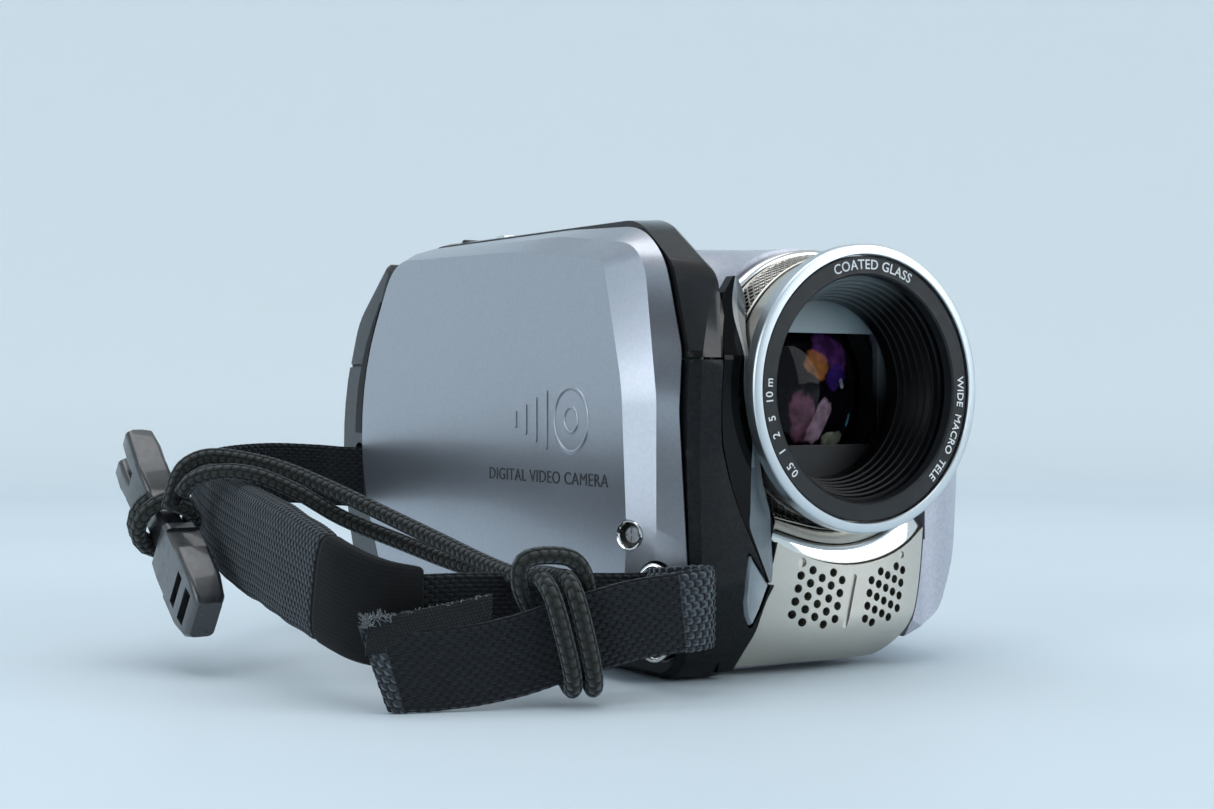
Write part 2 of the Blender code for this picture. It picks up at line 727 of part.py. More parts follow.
def image_sensor():
    """Sensor board behind the lens block."""
    return finish("image_sensor", block((LENS_X - 9, 4.4, LENS_Z - 8), (LENS_X + 9, 6.0, LENS_Z + 8)),
                  board_green())


# ---------------------------------------------------------------- inside

def hard_disk():
    """1.8-inch drive: tray, platter, head arm and board."""
    low = (-28.6, -36.5, 8.5)
    high = (-22.2, 31.0, 62.5)
    case = finish("hard_disk_case", block(low, high, 1.5, "X"), steel())
    inner = block((-27.4, -35.1, 9.9), (-20.0, 29.6, 61.1), 1.5, "X")
    cut(case, cutter("disk_case_guide", inner))
    hub = (0, -10.0, 35.5)
    platter = turned([(3.0, -26.6), (23.5, -26.6), (23.5, -25.6), (3.0, -25.6)], hub, "X", 32)
    finish("disk_platter", platter, chrome(), origin=(-26.1, hub[1], hub[2]))
    spindle = disc(2.4, hub, -27.0, -24.6, "X", 24)
    finish("disk_spindle", spindle, steel())
    pivot = (-24.8, 21.5, 18.0)
    arm_outline = [Vector(p) for p in ((24.5, 15.0), (25.5, 21.0), (20.5, 22.0), (6.5, 30.0),
                                       (5.5, 28.6), (18.5, 15.0))]
    finish("head_arm", prism(arm_outline, "X", -25.2, -24.4), steel(), origin=pivot)
    finish("hard_disk_board", block((-21.8, -34.5, 10.5), (-20.6, 29.0, 60.5)), board_green())


def main_board():
    """Main circuit board beside the lens block."""
    return finish("main_board", block((-12.6, -36.0, 4.0), (-11.2, 31.0, 48.0)), board_green())


def mic_board():
    """Board with the two microphone capsules behind the panel."""
    board = finish("mic_board", block((-7.0, -45.6, 3.6), (19.0, -44.4, 19.0)), board_green())
    for x in (-1.0, 14.0):
        add(board, cutter("mic_guide_%d" % x, disc(3.0, (x, 0, 11.5), -48.4, -45.0, "Y", 24)))
    return board


def speaker():
    """Round speaker behind the wall of the screen bay."""
    return finish("speaker", disc(6.5, (0, 24.0, 14.0), 18.6, 22.4, "X", 24), black_plastic())


def tripod_bush():
    """Threaded metal socket for a tripod."""
    return finish("tripod_bush", turned([(3.4, 0.0), (6.0, 0.0), (6.0, 5.5), (3.4, 5.5)],
                                        TRIPOD, "Z", 24), steel())


# ---------------------------------------------------------------- screen door

def lcd_door():
    """Fold-out screen: cover, bezel and glass, hinged at the front."""
    rear = 31.0
    front_arc = arc((HINGE_X, HINGE_Y), DOOR_HALF, -90, -180, 8)
    plan = [Vector((HINGE_X, HINGE_Y - DOOR_HALF))] + front_arc[1:]
    left = HINGE_X - DOOR_HALF
    plan += [Vector((left, rear)), Vector((DOOR_X - 2.0, rear)), Vector((DOOR_X - 0.8, rear - 1.0)),
             Vector((DOOR_X - 0.2, rear - 3.0)), Vector((DOOR_X - 0.2, HINGE_Y + 2.0))]
    plan += arc((HINGE_X, HINGE_Y), DOOR_HALF, 0, -80, 8)
    origin = (HINGE_X, HINGE_Y, (DOOR_Z[0] + DOOR_Z[1]) / 2)
    cover = finish("lcd_cover", prism(plan, "Z", DOOR_Z[0], DOOR_Z[1]), lavender(), origin=origin)
    bore = disc(1.8, (HINGE_X, HINGE_Y, 0), 0, 70, "Z", 24)
    cut(cover, cutter("door_bore_guide", bore))
    tray = block((left - 1, -24.0, 12.0), (left + 3.2, 28.0, 54.0), 1.5, "X")
    cut(cover, cutter("door_tray_guide", tray))
    bezel = finish("lcd_bezel", block((left + 0.6, -23.6, 12.4), (left + 2.8, 27.6, 53.6), 1.5, "X"),
                   black_plastic(), origin=origin)
    opening = block((left - 1, -20.4, 16.0), (left + 1.7, 24.4, 50.0))
    cut(bezel, cutter("bezel_opening_guide", opening))
    finish("lcd_screen", block((left + 0.9, -20.0, 16.4), (left + 1.35, 24.0, 49.6)), black_gloss(),
           origin=origin)
    pin = disc(1.3, (HINGE_X, HINGE_Y, 0), DOOR_Z[0] - 2.0, DOOR_Z[1] + 0.6, "Z", 20)
    finish("lcd_hinge_pin", pin, steel())


# ---------------------------------------------------------------- controls

def top_controls():
    """Zoom lever and snapshot button on the top cover."""
    seat = (TOP_CONTROL_X, ZOOM_Y, 0)
    lever = finish("zoom_lever", disc(3.6, seat, 68.45, 70.0, "Z", 24, 0.3), black_plastic(),
                   origin=(TOP_CONTROL_X, ZOOM_Y, 69.0))
    ridge = block((TOP_CONTROL_X - 3.0, ZOOM_Y - 0.7, 69.5), (TOP_CONTROL_X + 3.0, ZOOM_Y + 0.7, 70.8),
                  0.6, "X")
    add(lever, cutter("zoom_ridge_guide", ridge))
    snap = disc(2.9, (TOP_CONTROL_X, SNAP_Y, 0), 69.0, 70.3, "Z", 24, 0.3)
    finish("snapshot_button", snap, chrome(), origin=(TOP_CONTROL_X, SNAP_Y, 69.5))


def rear_controls():
    """Record button inside the mode dial on the rear of the grip."""
    x, _, z = DIAL
    dial = turned([(RECORD_R + 0.6, 53.8), (DIAL_R, 53.8), (DIAL_R, 55.6), (DIAL_R - 0.6, 56.0),
                   (RECORD_R + 0.6, 56.0)], DIAL, "Y", 32)
    finish("mode_dial", dial, black_plastic(), origin=(x, 55.0, z))
    button = disc(RECORD_R, DIAL, 54.6, 56.5, "Y", 24, 0.4)
    finish("record_button", button, material("record_red", (0.45, 0.02, 0.02), 0.35),
           origin=(x, 55.0, z))


def bay_buttons():
    """Three buttons on the wall behind the screen."""
    for name, y in zip(("play_button", "menu_button", "index_button"), BAY_BUTTON_Y):
        body = disc(BAY_BUTTON_R, (0, y, BAY_BUTTON_Z), SIDE_X - 1.6, SIDE_X + 0.35, "X", 20)
        finish(name, body, dark_grey(), origin=(SIDE_X, y, BAY_BUTTON_Z))


def jack_cover():
    """Flap over the sockets at the rear."""
    low, high = JACK_COVER
    outline = rounded([(low[1], low[2], 0.8), (high[1], low[2] - 0.6, 0.8), (high[1] + 1.0, high[2], 0.6),
                       (low[1], high[2], 0.3)], 4)
    finish("jack_cover", prism(outline, "X", low[0], high[0]), dark_grey(),
           origin=(-19.5, low[1] + 2.2, low[2] + 0.6))


def card_door():
    """Door of the memory-card slot in the base."""
    low, high = CARD_DOOR
    finish("card_door", block(low, high), dark_grey(), origin=(high[0] - 0.7, 17.0, 0.8))


def battery():
    """Battery pack that slides up off its rails, and its release latch."""
    low, high = BATTERY
    outline = rounded([(low[0], low[1], 1.5), (high[0], low[1], 3.0), (high[0], high[1], 5.0),
                       (low[0], high[1], 2.5)])
    pack = finish("battery_pack", prism(outline, "Z", low[2], high[2]), dark_grey(),
                  origin=(7.6, 46.0, 34.0))
    for x in RAIL_X:
        neck = block((x - 2.0, 30, 0), (x + 2.0, 38.6, 40.5))
        head = block((x - 3.3, 37.9, 0), (x + 3.3, 40.3, 40.5))
        cut(pack, cutter("battery_neck_%d" % x, neck))
        cut(pack, cutter("battery_head_%d" % x, head))
    finish("battery_latch", block((3.0, 36.6, 2.6), (12.0, 40.2, 7.4), 1.0, "Y"), black_plastic(),
           origin=(7.5, 38.0, 5.0))


# ---------------------------------------------------------------- strap

def through(route, spacing):
    """Points at even spacing on a smooth curve through the route's points."""
    points = [Vector(p) for p in route]
    fine = []
    for i in range(len(points) - 1):
        p1, p2 = points[i], points[i + 1]
        p0 = points[i - 1] if i else p1 * 2 - p2
        p3 = points[i + 2] if i + 2 < len(points) else p2 * 2 - p1
        for k in range(24):
            t = k / 24
            fine.append(0.5 * (2 * p1 + (p2 - p0) * t + (2 * p0 - 5 * p1 + 4 * p2 - p3) * t * t
                               + (3 * p1 - p0 - 3 * p2 + p3) * t ** 3))
    fine.append(points[-1])
    steps = [0.0]
    for a, b in zip(fine, fine[1:]):
        steps.append(steps[-1] + (b - a).length)
    count = max(2, round(steps[-1] / spacing))
    out = []
    at = 0
    for k in range(count + 1):
        target = steps[-1] * k / count
        while at < len(steps) - 2 and steps[at + 1] < target:
            at += 1
        share = (target - steps[at]) / max(1e-9, steps[at + 1] - steps[at])
        out.append(fine[at].lerp(fine[at + 1], share))
    return out


def thinned(points, most, bend):
    """Fewer points: far apart where the curve is straight, close where it bends."""
    kept = [points[0]]
    heading = (points[1] - points[0]).normalized()
    for here, ahead in zip(points[1:-1], points[2:]):
        onward = (ahead - here).normalized()
        reach = (here - kept[-1]).length
        if reach >= most or (reach >= CORD_D and onward.angle(heading) >= bend):
            kept.append(here)
            heading = onward
    kept.append(points[-1])
    return kept


def ribbon(route, spacing, size_at):
    """Flat band along a route; size_at(share) gives its height and thickness."""
    centre = through(route, spacing)
    sections = []
    for k, here in enumerate(centre):
        ahead = centre[min(k + 1, len(centre) - 1)]
        behind = centre[max(k - 1, 0)]
        along = (ahead - behind).normalized()
        side = along.cross(UP).normalized()
        up = side.cross(along).normalized()
        height, thick = size_at(k / (len(centre) - 1))
        tip = 0.5 + 0.32 * thick / height
        ring = []
        for a, b in ((-0.5, -0.5), (0.5, -0.5), (tip, 0.0), (0.5, 0.5), (-0.5, 0.5), (-tip, 0.0)):
            ring.append(here + up * a * height + side * b * thick)
        sections.append(ring)
    return loft(sections)


def hand_strap():
    """Front belt, padded sleeve and rear belt."""
    def belt(_):
        return BELT_W, BELT_T

    def pad(share):
        fullness = max(0.0, math.sin(math.pi * share)) ** 0.45
        return BELT_W + PAD_EXTRA[0] + PAD_EXTRA[1] * fullness, PAD_T[0] + PAD_T[1] * fullness

    finish("grip_belt_front", ribbon(FRONT_BELT, 3.0, belt), webbing(), smooth_angle=50)
    finish("grip_pad", ribbon(PAD, 5.0, pad), webbing(), smooth_angle=50)
    finish("grip_belt_rear", ribbon(REAR_BELT, 3.0, belt), webbing(), smooth_angle=50)


def oval(extra, depth):
    """Oval ring of points in the plane of the front eyelet."""
    ring = []
    for k in range(28):
        angle = 2 * math.pi * k / 28
        ring.append(Vector(EYELET) + EYELET_ACROSS * (EYELET_HALF[0] + extra) * math.cos(angle)
                    + UP * (EYELET_HALF[1] + extra) * math.sin(angle) + EYELET_OUT * depth)
    return ring


def front_eyelet():
    """Polished rim of the front belt opening."""
    rings = [oval(0.0, 0.9), oval(-0.75, 1.1), oval(-0.95, 0.7), oval(-0.95, -1.6), oval(0.0, -1.6)]
    return finish("front_eyelet", loft(rings, closed=True), chrome())


def eyelet_cutter():
    """Opening for the front eyelet."""
    return cutter("eyelet_guide", loft([oval(GAP, 6.0), oval(GAP, -7.5)]))


def strap_bar(name, x, y, low, high):
    """Steel pin that the belt is looped around."""
    return finish(name, disc(0.8, (x, y, 0), low, high, "Z", 16), steel())


# ---------------------------------------------------------------- wrist cord

def buckle_axes():
    """Directions along the buckle, across its flat face and through it."""
    along = (BUCKLE_END - BUCKLE_TOP).normalized()
    across = along.cross(Vector((1, 0, 0))).normalized()
    return along, across, across.cross(along).normalized()


def buckle_part(name, spans):
    """Plastic half of the side-release buckle; spans are (distance, width, thickness share)."""
    along, across, side = buckle_axes()
    sections = []
    for distance, width, scale in spans:
        here = BUCKLE_TOP + along * distance
        half_t = BUCKLE_T * scale / 2
        half_w = width / 2
        ring = []
        for a, b in ((-1, -0.55), (-0.8, -1), (0.8, -1), (1, -0.55), (1, 0.55), (0.8, 1), (-0.8, 1),
                     (-1, 0.55)):
            ring.append(here + across * a * half_w + side * b * half_t)
        sections.append(ring)
    return finish(name, loft(sections), material("buckle_plastic", (0.03, 0.032, 0.035), 0.45))


def buckle():
    """Two halves of the buckle that tidies the wrist cord."""
    upper = ((0.0, 8.0, 0.7), (1.0, 9.4, 1.0), (5.0, 9.8, 1.0), (10.5, 8.2, 1.0), (13.6, 6.4, 0.8),
             (14.6, 5.6, 0.7), (22.0, 5.6, 0.7))
    lower = ((22.4, 6.0, 0.75), (23.4, 9.0, 1.0), (28.0, 11.0, 1.0), (36.0, 10.6, 1.0), (39.6, 8.6, 0.9),
             (40.6, 7.0, 0.7))
    buckle_part("buckle_socket", upper)
    buckle_part("buckle_plug", lower)


def cord_coil():
    """Turns of the wrist cord around the neck of the buckle."""
    along, across, side = buckle_axes()
    start, end = COIL
    rings = []
    for distance, grow in ((start, GAP), (start, CORD_D), (end, CORD_D), (end, GAP)):
        here = BUCKLE_TOP + along * distance
        ring = []
        for k in range(24):
            angle = 2 * math.pi * k / 24
            ring.append(here + across * (COIL_HALF[0] + grow) * math.cos(angle)
                        + side * (COIL_HALF[1] + grow) * math.sin(angle))
        rings.append(ring)
    return finish("cord_coil", loft(rings, closed=True), cord_black())


def hitch_points():
    """Lark's head around the belt: one half and its mirror image."""
    first = [HITCH + HITCH_ALONG * s + HITCH_OUT * n + UP * z for s, n, z in HITCH_HALF]
    second = [HITCH - HITCH_ALONG * s + HITCH_OUT * n + UP * z for s, n, z in HITCH_HALF]
    return first + second[::-1]


def wrist_cord():
    """Braided cord from the buckle to the belt and back."""
    route = list(CORD) + hitch_points() + list(CORD_BACK)
    points = thinned(through(route, 0.6), 6.5, math.radians(24))
    curve = bpy.data.curves.new("wrist_cord", "CURVE")
    curve.dimensions = "3D"
    curve.bevel_depth = CORD_D / 2 * MM
    curve.bevel_resolution = 2
    curve.use_fill_caps = True
    spline = curve.splines.new("POLY")
    spline.points.add(len(points) - 1)
    for knot, place_at in zip(spline.points, points):
        knot.co = (*(place_at * MM), 1.0)
    curve.materials.append(cord_black())
    obj = bpy.data.objects.new("wrist_cord", curve)
    bpy.context.scene.collection.objects.link(obj)
    return obj


def main():
    clear_scene()
    eyelet = eyelet_cutter()
    grip_side_cover(eyelet)
    window, lamp = front_pocket_cutters()
    top_cover(window)
    front_frame(window, lamp, eyelet)
    rear_shell("rear_upper_housing", True)
    rear_lower_housing()
    lens_housing()
    front_corner_cover()
    front_panel()
    crescent_trim()
    side_window()
    lamp_window()
    rear_cover()
    lens_front_ring()
    name_ring()
    lens_hood_tube()
    aperture_baffle()
    lens_barrel()
    knurled_band()
    barrel_trim_ring()
    front_lens()
    lens_block()
    lens_group("zoom_lens_group", ZOOM_GROUP_Y, 5.0)
    lens_group("focus_lens_group", FOCUS_GROUP_Y, 4.0)
    guide_rod("guide_rod_left", ROD_X[0])
    guide_rod("guide_rod_right", ROD_X[1])
    image_sensor()
    hard_disk()
    main_board()
    mic_board()
    speaker()
    tripod_bush()
    lcd_door()
    top_controls()
    rear_controls()
    bay_buttons()
    jack_cover()
    card_door()
    battery()
    hand_strap()
    front_eyelet()
    strap_bar("front_strap_bar", -25.6, -45.6, 4.6, 17.4)
    strap_bar("rear_strap_bar", -27.4, 48.4, 21.2, 32.8)
    buckle()
    cord_coil()
    wrist_cord()


main()
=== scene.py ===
"""Palm-size hard-disk camcorder on a pale table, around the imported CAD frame.

Shapes are written in millimetres and scaled when a mesh is made. X runs from
the hand strap (-X) to the screen (+X), the lens looks along -Y, +Z is up.
"""
import json
import math
import random

import bmesh
import bpy
from mathutils import Matrix, Vector, noise


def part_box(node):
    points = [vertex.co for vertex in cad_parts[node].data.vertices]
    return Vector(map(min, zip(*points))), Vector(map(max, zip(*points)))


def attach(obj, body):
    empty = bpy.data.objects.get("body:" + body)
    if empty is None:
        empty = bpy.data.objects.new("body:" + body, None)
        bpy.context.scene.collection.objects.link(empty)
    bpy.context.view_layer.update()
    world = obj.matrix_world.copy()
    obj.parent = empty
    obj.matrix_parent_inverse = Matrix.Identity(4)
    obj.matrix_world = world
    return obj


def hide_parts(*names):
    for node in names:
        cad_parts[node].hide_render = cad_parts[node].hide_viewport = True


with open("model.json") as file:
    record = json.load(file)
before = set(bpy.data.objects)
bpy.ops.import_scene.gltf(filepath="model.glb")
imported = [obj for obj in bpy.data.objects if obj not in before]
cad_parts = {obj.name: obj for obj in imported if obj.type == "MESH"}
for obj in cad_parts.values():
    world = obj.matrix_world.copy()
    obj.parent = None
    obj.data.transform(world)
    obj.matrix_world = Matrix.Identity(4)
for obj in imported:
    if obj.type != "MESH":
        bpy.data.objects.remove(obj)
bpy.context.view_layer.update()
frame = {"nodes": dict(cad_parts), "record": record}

MM = 0.001
BODY = {node: body for body, nodes in frame["record"]["behaviour"]["bodies"].items() for node in nodes}
UP = Vector((0, 0, 1))


def cad(node):
    """Lowest and highest corner of a CAD node, in millimetres."""
    low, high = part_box(node)
    return low / MM, high / MM


RING_LOW, RING_HIGH = cad("lens_front_ring")
LENS_X = (RING_LOW.x + RING_HIGH.x) / 2
LENS_Z = (RING_LOW.z + RING_HIGH.z) / 2
RING_R = (RING_HIGH.x - RING_LOW.x) / 2
RING_FRONT = RING_LOW.y
GRIP_X = cad("grip_side_cover")[0].x
COVER_X = cad("grip_side_cover")[1].x
DOOR_X = cad("front_corner_cover")[1].x
SEAM_Z = (cad("top_cover")[0].z + cad("front_frame")[1].z) / 2
TOP_Z = 69.6
GAP = 0.35
CORD_D = 2.5


# ---------------------------------------------------------------- materials

class Look:
    """Node material under construction."""

    def __init__(self, name, colour, roughness, metallic=0.0, **more):
        self.mat = bpy.data.materials.new(name)
        self.mat.use_nodes = True
        self.tree = self.mat.node_tree
        self.shader = self.tree.nodes["Principled BSDF"]
        self.set(self.shader, {"Base Color": (*colour, 1), "Roughness": roughness, "Metallic": metallic})
        self.set(self.shader, more.get("inputs", {}))
        self.where = self.node("ShaderNodeTexCoord").outputs["Object"]
        self.uv = self.tree.nodes[-1].outputs["UV"]
        self.bumped = None

    def set(self, node, values):
        for key, value in values.items():
            if isinstance(value, bpy.types.NodeSocket):
                self.tree.links.new(value, node.inputs[key])
            else:
                node.inputs[key].default_value = value

    def node(self, kind, values=None, **settings):
        made = self.tree.nodes.new(kind)
        for key, value in settings.items():
            setattr(made, key, value)
        self.set(made, values or {})
        return made

    def math(self, operation, a, b=0.0):
        return self.node("ShaderNodeMath", {0: a, 1: b}, operation=operation).outputs[0]

    def times(self, a, b):
        return self.math("MULTIPLY", a, b)

    def plus(self, a, b):
        return self.math("ADD", a, b)

    def minus(self, a, b):
        return self.math("SUBTRACT", a, b)

    def over(self, a, b):
        return self.math("DIVIDE", a, b)

    def noise(self, scale, detail=2.0, rough=0.5):
        made = self.node("ShaderNodeTexNoise", {"Vector": self.where, "Scale": scale, "Detail": detail,
                                                "Roughness": rough})
        return made.outputs["Fac"]

    def cells(self, scale):
        return self.node("ShaderNodeTexVoronoi", {"Vector": self.where, "Scale": scale}).outputs["Color"]

    def span(self, value, low, high, out_low, out_high):
        made = self.node("ShaderNodeMapRange", {"Value": value, "From Min": low, "From Max": high,
                                                "To Min": out_low, "To Max": out_high})
        return made.outputs[0]

    def mix(self, factor, a, b):
        made = self.node("ShaderNodeMix", {"Factor": factor}, data_type="RGBA")
        for socket, value in ((made.inputs[6], a), (made.inputs[7], b)):
            if isinstance(value, bpy.types.NodeSocket):
                self.tree.links.new(value, socket)
            else:
                socket.default_value = (*value, 1)
        return made.outputs[2]

    def split(self, vector):
        return self.node("ShaderNodeSeparateXYZ", {"Vector": vector}).outputs

    def bump(self, height, strength, distance):
        values = {"Height": height, "Strength": strength, "Distance": distance}
        if self.bumped:
            values["Normal"] = self.bumped
        self.bumped = self.node("ShaderNodeBump", values).outputs["Normal"]
        self.set(self.shader, {"Normal": self.bumped})

    def worn(self, colour, pale, amount):
        """Paler colour along convex edges, broken up by noise."""
        edge = self.node("ShaderNodeNewGeometry").outputs["Pointiness"]
        mask = self.span(edge, 0.53, 0.62, 0.0, amount)
        return self.mix(self.times(mask, self.noise(900, 3)), colour, pale)


def flake_paint(name, colour, dark, rough, flake=0.5, metallic=0.75, coat=0.35, specular=0.5):
    """Metallic paint: fine flakes under a clear coat."""
    look = Look(name, colour, rough, metallic)
    cell = look.split(look.cells(2700))[0]
    tone = look.mix(look.times(cell, flake), colour, dark)
    cloud = look.span(look.noise(38, 3), 0.3, 0.7, 0.0, 0.10)
    tone = look.mix(cloud, tone, dark)
    look.set(look.shader, {"Base Color": tone, "Specular IOR Level": specular,
                           "Roughness": look.span(look.noise(60, 2), 0.3, 0.7, rough - 0.01, rough + 0.02),
                           "Coat Weight": coat, "Coat Roughness": 0.09})
    look.bump(look.noise(2600, 1), 0.004, 0.00002)
    return look.mat


def plastic(name, colour, rough, grain=0.25, scale=4200, coat=0.0, specular=0.5):
    """Moulded plastic with a fine grain and faint scuffs."""
    look = Look(name, colour, rough)
    pale = [min(1, c * 1.8 + 0.012) for c in colour]
    scuff = look.span(look.noise(420, 4, 0.7), 0.52, 0.75, 0.0, 0.35)
    look.set(look.shader, {"Base Color": look.worn(look.mix(scuff, colour, pale), pale, 0.7),
                           "Roughness": look.span(look.noise(700, 3), 0.3, 0.7, max(0.03, rough - 0.08),
                                                  rough + 0.08),
                           "Coat Weight": coat, "Coat Roughness": 0.05, "Specular IOR Level": specular})
    look.bump(look.noise(scale, 2), grain, 0.00004)
    return look.mat


def metal(name, colour, rough, smudge=0.06, brushed=0.0):
    """Bare or plated metal with faint smudges."""
    look = Look(name, colour, rough, 1.0)
    look.set(look.shader, {"Roughness": look.span(look.noise(160, 4), 0.35, 0.75, rough, rough + smudge),
                           "Base Color": look.mix(look.noise(90, 2), colour, [c * 0.9 for c in colour])})
    look.bump(look.noise(2200, 2), 0.004 + brushed, 0.00002)
    return look.mat


def light_trap_black(name):
    """Deep black of the ribbed tube, with painted light that makes it greyer towards its top ribs."""
    look = Look(name, (0.003, 0.0034, 0.0038), 0.34, inputs={"Specular IOR Level": 0.16})
    x, _, z = look.split(look.where)
    # painted highlight: grey mixed into the black at the top of the tube and towards its left
    painted_roof_light = look.times(look.span(z, 0.052, 0.060, 0.0, 1.0), look.span(x, 0.008, 0.016, 1.0, 0.0))
    look.set(look.shader, {"Base Color": look.mix(painted_roof_light, (0.0022, 0.0024, 0.003), (0.11, 0.135, 0.145))})
    look.bump(look.noise(4200, 2), 0.1, 0.00004)
    return look.mat


def woven(name, colour, thread, pitch, depth=0.0005, strength=0.9, sheen=0.25, fuzz=0.12, ridge=1.0):
    """Staggered woven bumps in UV space, where UV is in millimetres, with painted shade in the hollows
    between threads.
    """
    look = Look(name, colour, 0.9)
    u, v, _ = look.split(look.uv)
    row = look.over(v, pitch[1])
    shifted = look.plus(look.over(u, pitch[0]), look.times(look.math("FLOOR", row), 0.5))
    halves = []
    for value in (shifted, row):
        centred = look.minus(look.times(look.math("FRACT", value), 2.0), 1.0)
        halves.append(look.minus(1.0, look.math("POWER", look.math("ABSOLUTE", centred), 2.0)))
    height = look.times(look.math("POWER", halves[0], ridge), halves[1])
    worn = look.noise(2600, 4, 0.7)
    # painted shade: the hollows between threads are darkened to a quarter of the cloth colour, the crests
    # take the thread colour
    tone = look.mix(height, [c * 0.25 for c in colour], thread)
    tone = look.mix(look.times(look.span(worn, 0.55, 0.8, 0.0, 1.0), fuzz), tone,
                    [min(1, c * 5 + 0.03) for c in thread])
    cloud = look.span(look.noise(120, 3), 0.3, 0.7, 0.0, 0.35)
    tone = look.mix(cloud, tone, [c * 0.6 for c in thread])
    look.set(look.shader, {"Base Color": tone, "Sheen Weight": sheen, "Sheen Roughness": 0.5,
                           "Sheen Tint": (0.6, 0.68, 0.75, 1), "Specular IOR Level": 0.25})
    look.bump(height, strength, depth)
    look.bump(worn, 0.25, 0.0001)
    return look.mat


SILVER = flake_paint("cover silver paint", (0.44, 0.46, 0.51), (0.37, 0.38, 0.42), 0.30, 0.45, 0.88, 0.3)
LAVENDER = flake_paint("housing lavender paint", (0.55, 0.56, 0.63), (0.36, 0.36, 0.43), 0.34, 0.45, 0.6, 0.3)
DARK_TOP = flake_paint("top brown-black paint", (0.006, 0.006, 0.007), (0.028, 0.027, 0.028), 0.22, 0.5, 0.3,
                       0.4, 0.3)
REAR_GREY = flake_paint("rear grey paint", (0.030, 0.036, 0.040), (0.070, 0.080, 0.086), 0.36, 0.45, 0.3, 0.2)
DARK_GREY = flake_paint("dark grey fleck paint", (0.003, 0.004, 0.005), (0.018, 0.021, 0.024), 0.36, 0.45,
                        0.25, 0.03, 0.2)
CHAMPAGNE = flake_paint("champagne metal", (0.60, 0.57, 0.51), (0.54, 0.51, 0.46), 0.30, 0.35, 0.92, 0.25)
SATIN = metal("satin lens ring", (0.60, 0.65, 0.68), 0.34, 0.04)
CHROME = metal("polished chrome", (0.88, 0.87, 0.84), 0.06, 0.03)
STEEL = metal("plain steel", (0.55, 0.55, 0.56), 0.3, 0.12, 0.1)
BLACK = plastic("matt black plastic", (0.010, 0.011, 0.012), 0.45, 0.2)
NAME_BLACK = plastic("name ring black", (0.010, 0.012, 0.014), 0.45, 0.4, 6500, specular=0.35)
HOOD_BLACK = light_trap_black("light trap black")
GLOSS_BLACK = plastic("gloss black", (0.0015, 0.0016, 0.002), 0.05, 0.0, specular=0.12)
SMOKE = plastic("smoked grey facet", (0.15, 0.18, 0.20), 0.12, 0.02, coat=0.3)
# painted highlight: pale strip beside the almond window's crease
PAINTED_EDGE_HIGHLIGHT = plastic("bright window edge", (0.30, 0.35, 0.38), 0.14, 0.02, coat=0.8)
BUCKLE_GREY = plastic("buckle plastic", (0.016, 0.018, 0.021), 0.33, 0.3, 2600, coat=0.5, specular=0.7)
RED = plastic("record red", (0.42, 0.02, 0.018), 0.3, 0.1, coat=0.4)
BOARD = plastic("board green", (0.02, 0.12, 0.05), 0.4, 0.3)
MARK = plastic("white marking", (0.75, 0.77, 0.78), 0.5, 0.1)
DARK_MARK = plastic("dark marking", (0.03, 0.03, 0.035), 0.4, 0.1)
WEBBING = woven("nylon webbing", (0.006, 0.007, 0.010), (0.013, 0.016, 0.020), (1.5, 0.62), 0.0004, 0.9)
COARSE = woven("coarse webbing fold", (0.012, 0.016, 0.020), (0.034, 0.044, 0.052), (1.15, 1.0), 0.0006, 1.0,
               0.5)
KNIT = woven("knitted mesh", (0.010, 0.011, 0.013), (0.036, 0.041, 0.046), (1.05, 0.62), 0.0004, 1.0, 0.3)
SUEDE = woven("binding fabric", (0.003, 0.0035, 0.004), (0.005, 0.0055, 0.0065), (0.5, 0.5), 0.00012, 0.4,
              0.06, 0.10)
BRAID = woven("braided cord", (0.016, 0.017, 0.014), (0.040, 0.042, 0.035), (1.3, 0.98), 0.0004, 1.0, 0.3)
HOOKS = woven("hook tape", (0.014, 0.015, 0.016), (0.026, 0.027, 0.028), (0.45, 0.45), 0.0002, 0.6, 0.12,
              0.15)
FRAY = woven("frayed ends", (0.16, 0.18, 0.19), (0.34, 0.37, 0.38), (0.4, 0.4), 0.0002, 0.6, 0.5, 0.4)


# ---------------------------------------------------------------- shapes

def rounded(corners, points=10):
    """Closed outline through (a, b, radius) corners, each one rounded."""
    out = []
    count = len(corners)
    for i, (a, b, radius, *own) in enumerate(corners):
        steps = own[0] if own else points
        here = Vector((a, b))
        before = (Vector(corners[i - 1][:2]) - here).normalized()
        after = (Vector(corners[(i + 1) % count][:2]) - here).normalized()
        half = before.angle(after) / 2
        start = here + before * (radius / math.tan(half))
        end = here + after * (radius / math.tan(half))
        centre = here + (before + after).normalized() * (radius / math.sin(half))
        from_centre = start - centre
        turn = from_centre.angle_signed(end - centre)
        for k in range(steps):
            out.append(centre + Matrix.Rotation(-turn * k / (steps - 1), 2) @ from_centre)
    return out


def lengths(points):
    """Distance of each point from the first one, along the line."""
    steps = [0.0]
    for a, b in zip(points, points[1:]):
        steps.append(steps[-1] + (b - a).length)
    return steps


def spread(points, count):
    """Both ends of a line and the points that cut it into equal steps."""
    steps = lengths(points)
    out = []
    at = 0
    for k in range(count + 1):
        target = steps[-1] * k / count
        while at < len(steps) - 2 and steps[at + 1] < target:
            at += 1
        share = (target - steps[at]) / max(1e-9, steps[at + 1] - steps[at])
        out.append(points[at].lerp(points[at + 1], share))
    return out


def even(outline, count):
    """The same closed outline with points at even spacing from its first one."""
    return spread([Vector(p) for p in outline] + [Vector(outline[0])], count)[:-1]


def inset(outline, distance):
    """Outline moved inwards by a constant distance."""
    count = len(outline)
    area = sum(outline[i - 1].cross(outline[i]) for i in range(count))
    side = 1.0 if area > 0 else -1.0
    out = []
    for i, here in enumerate(outline):
        along = (outline[(i + 1) % count] - outline[i - 1]).normalized()
        out.append(here + Vector((-along.y, along.x)) * side * distance)
    return out


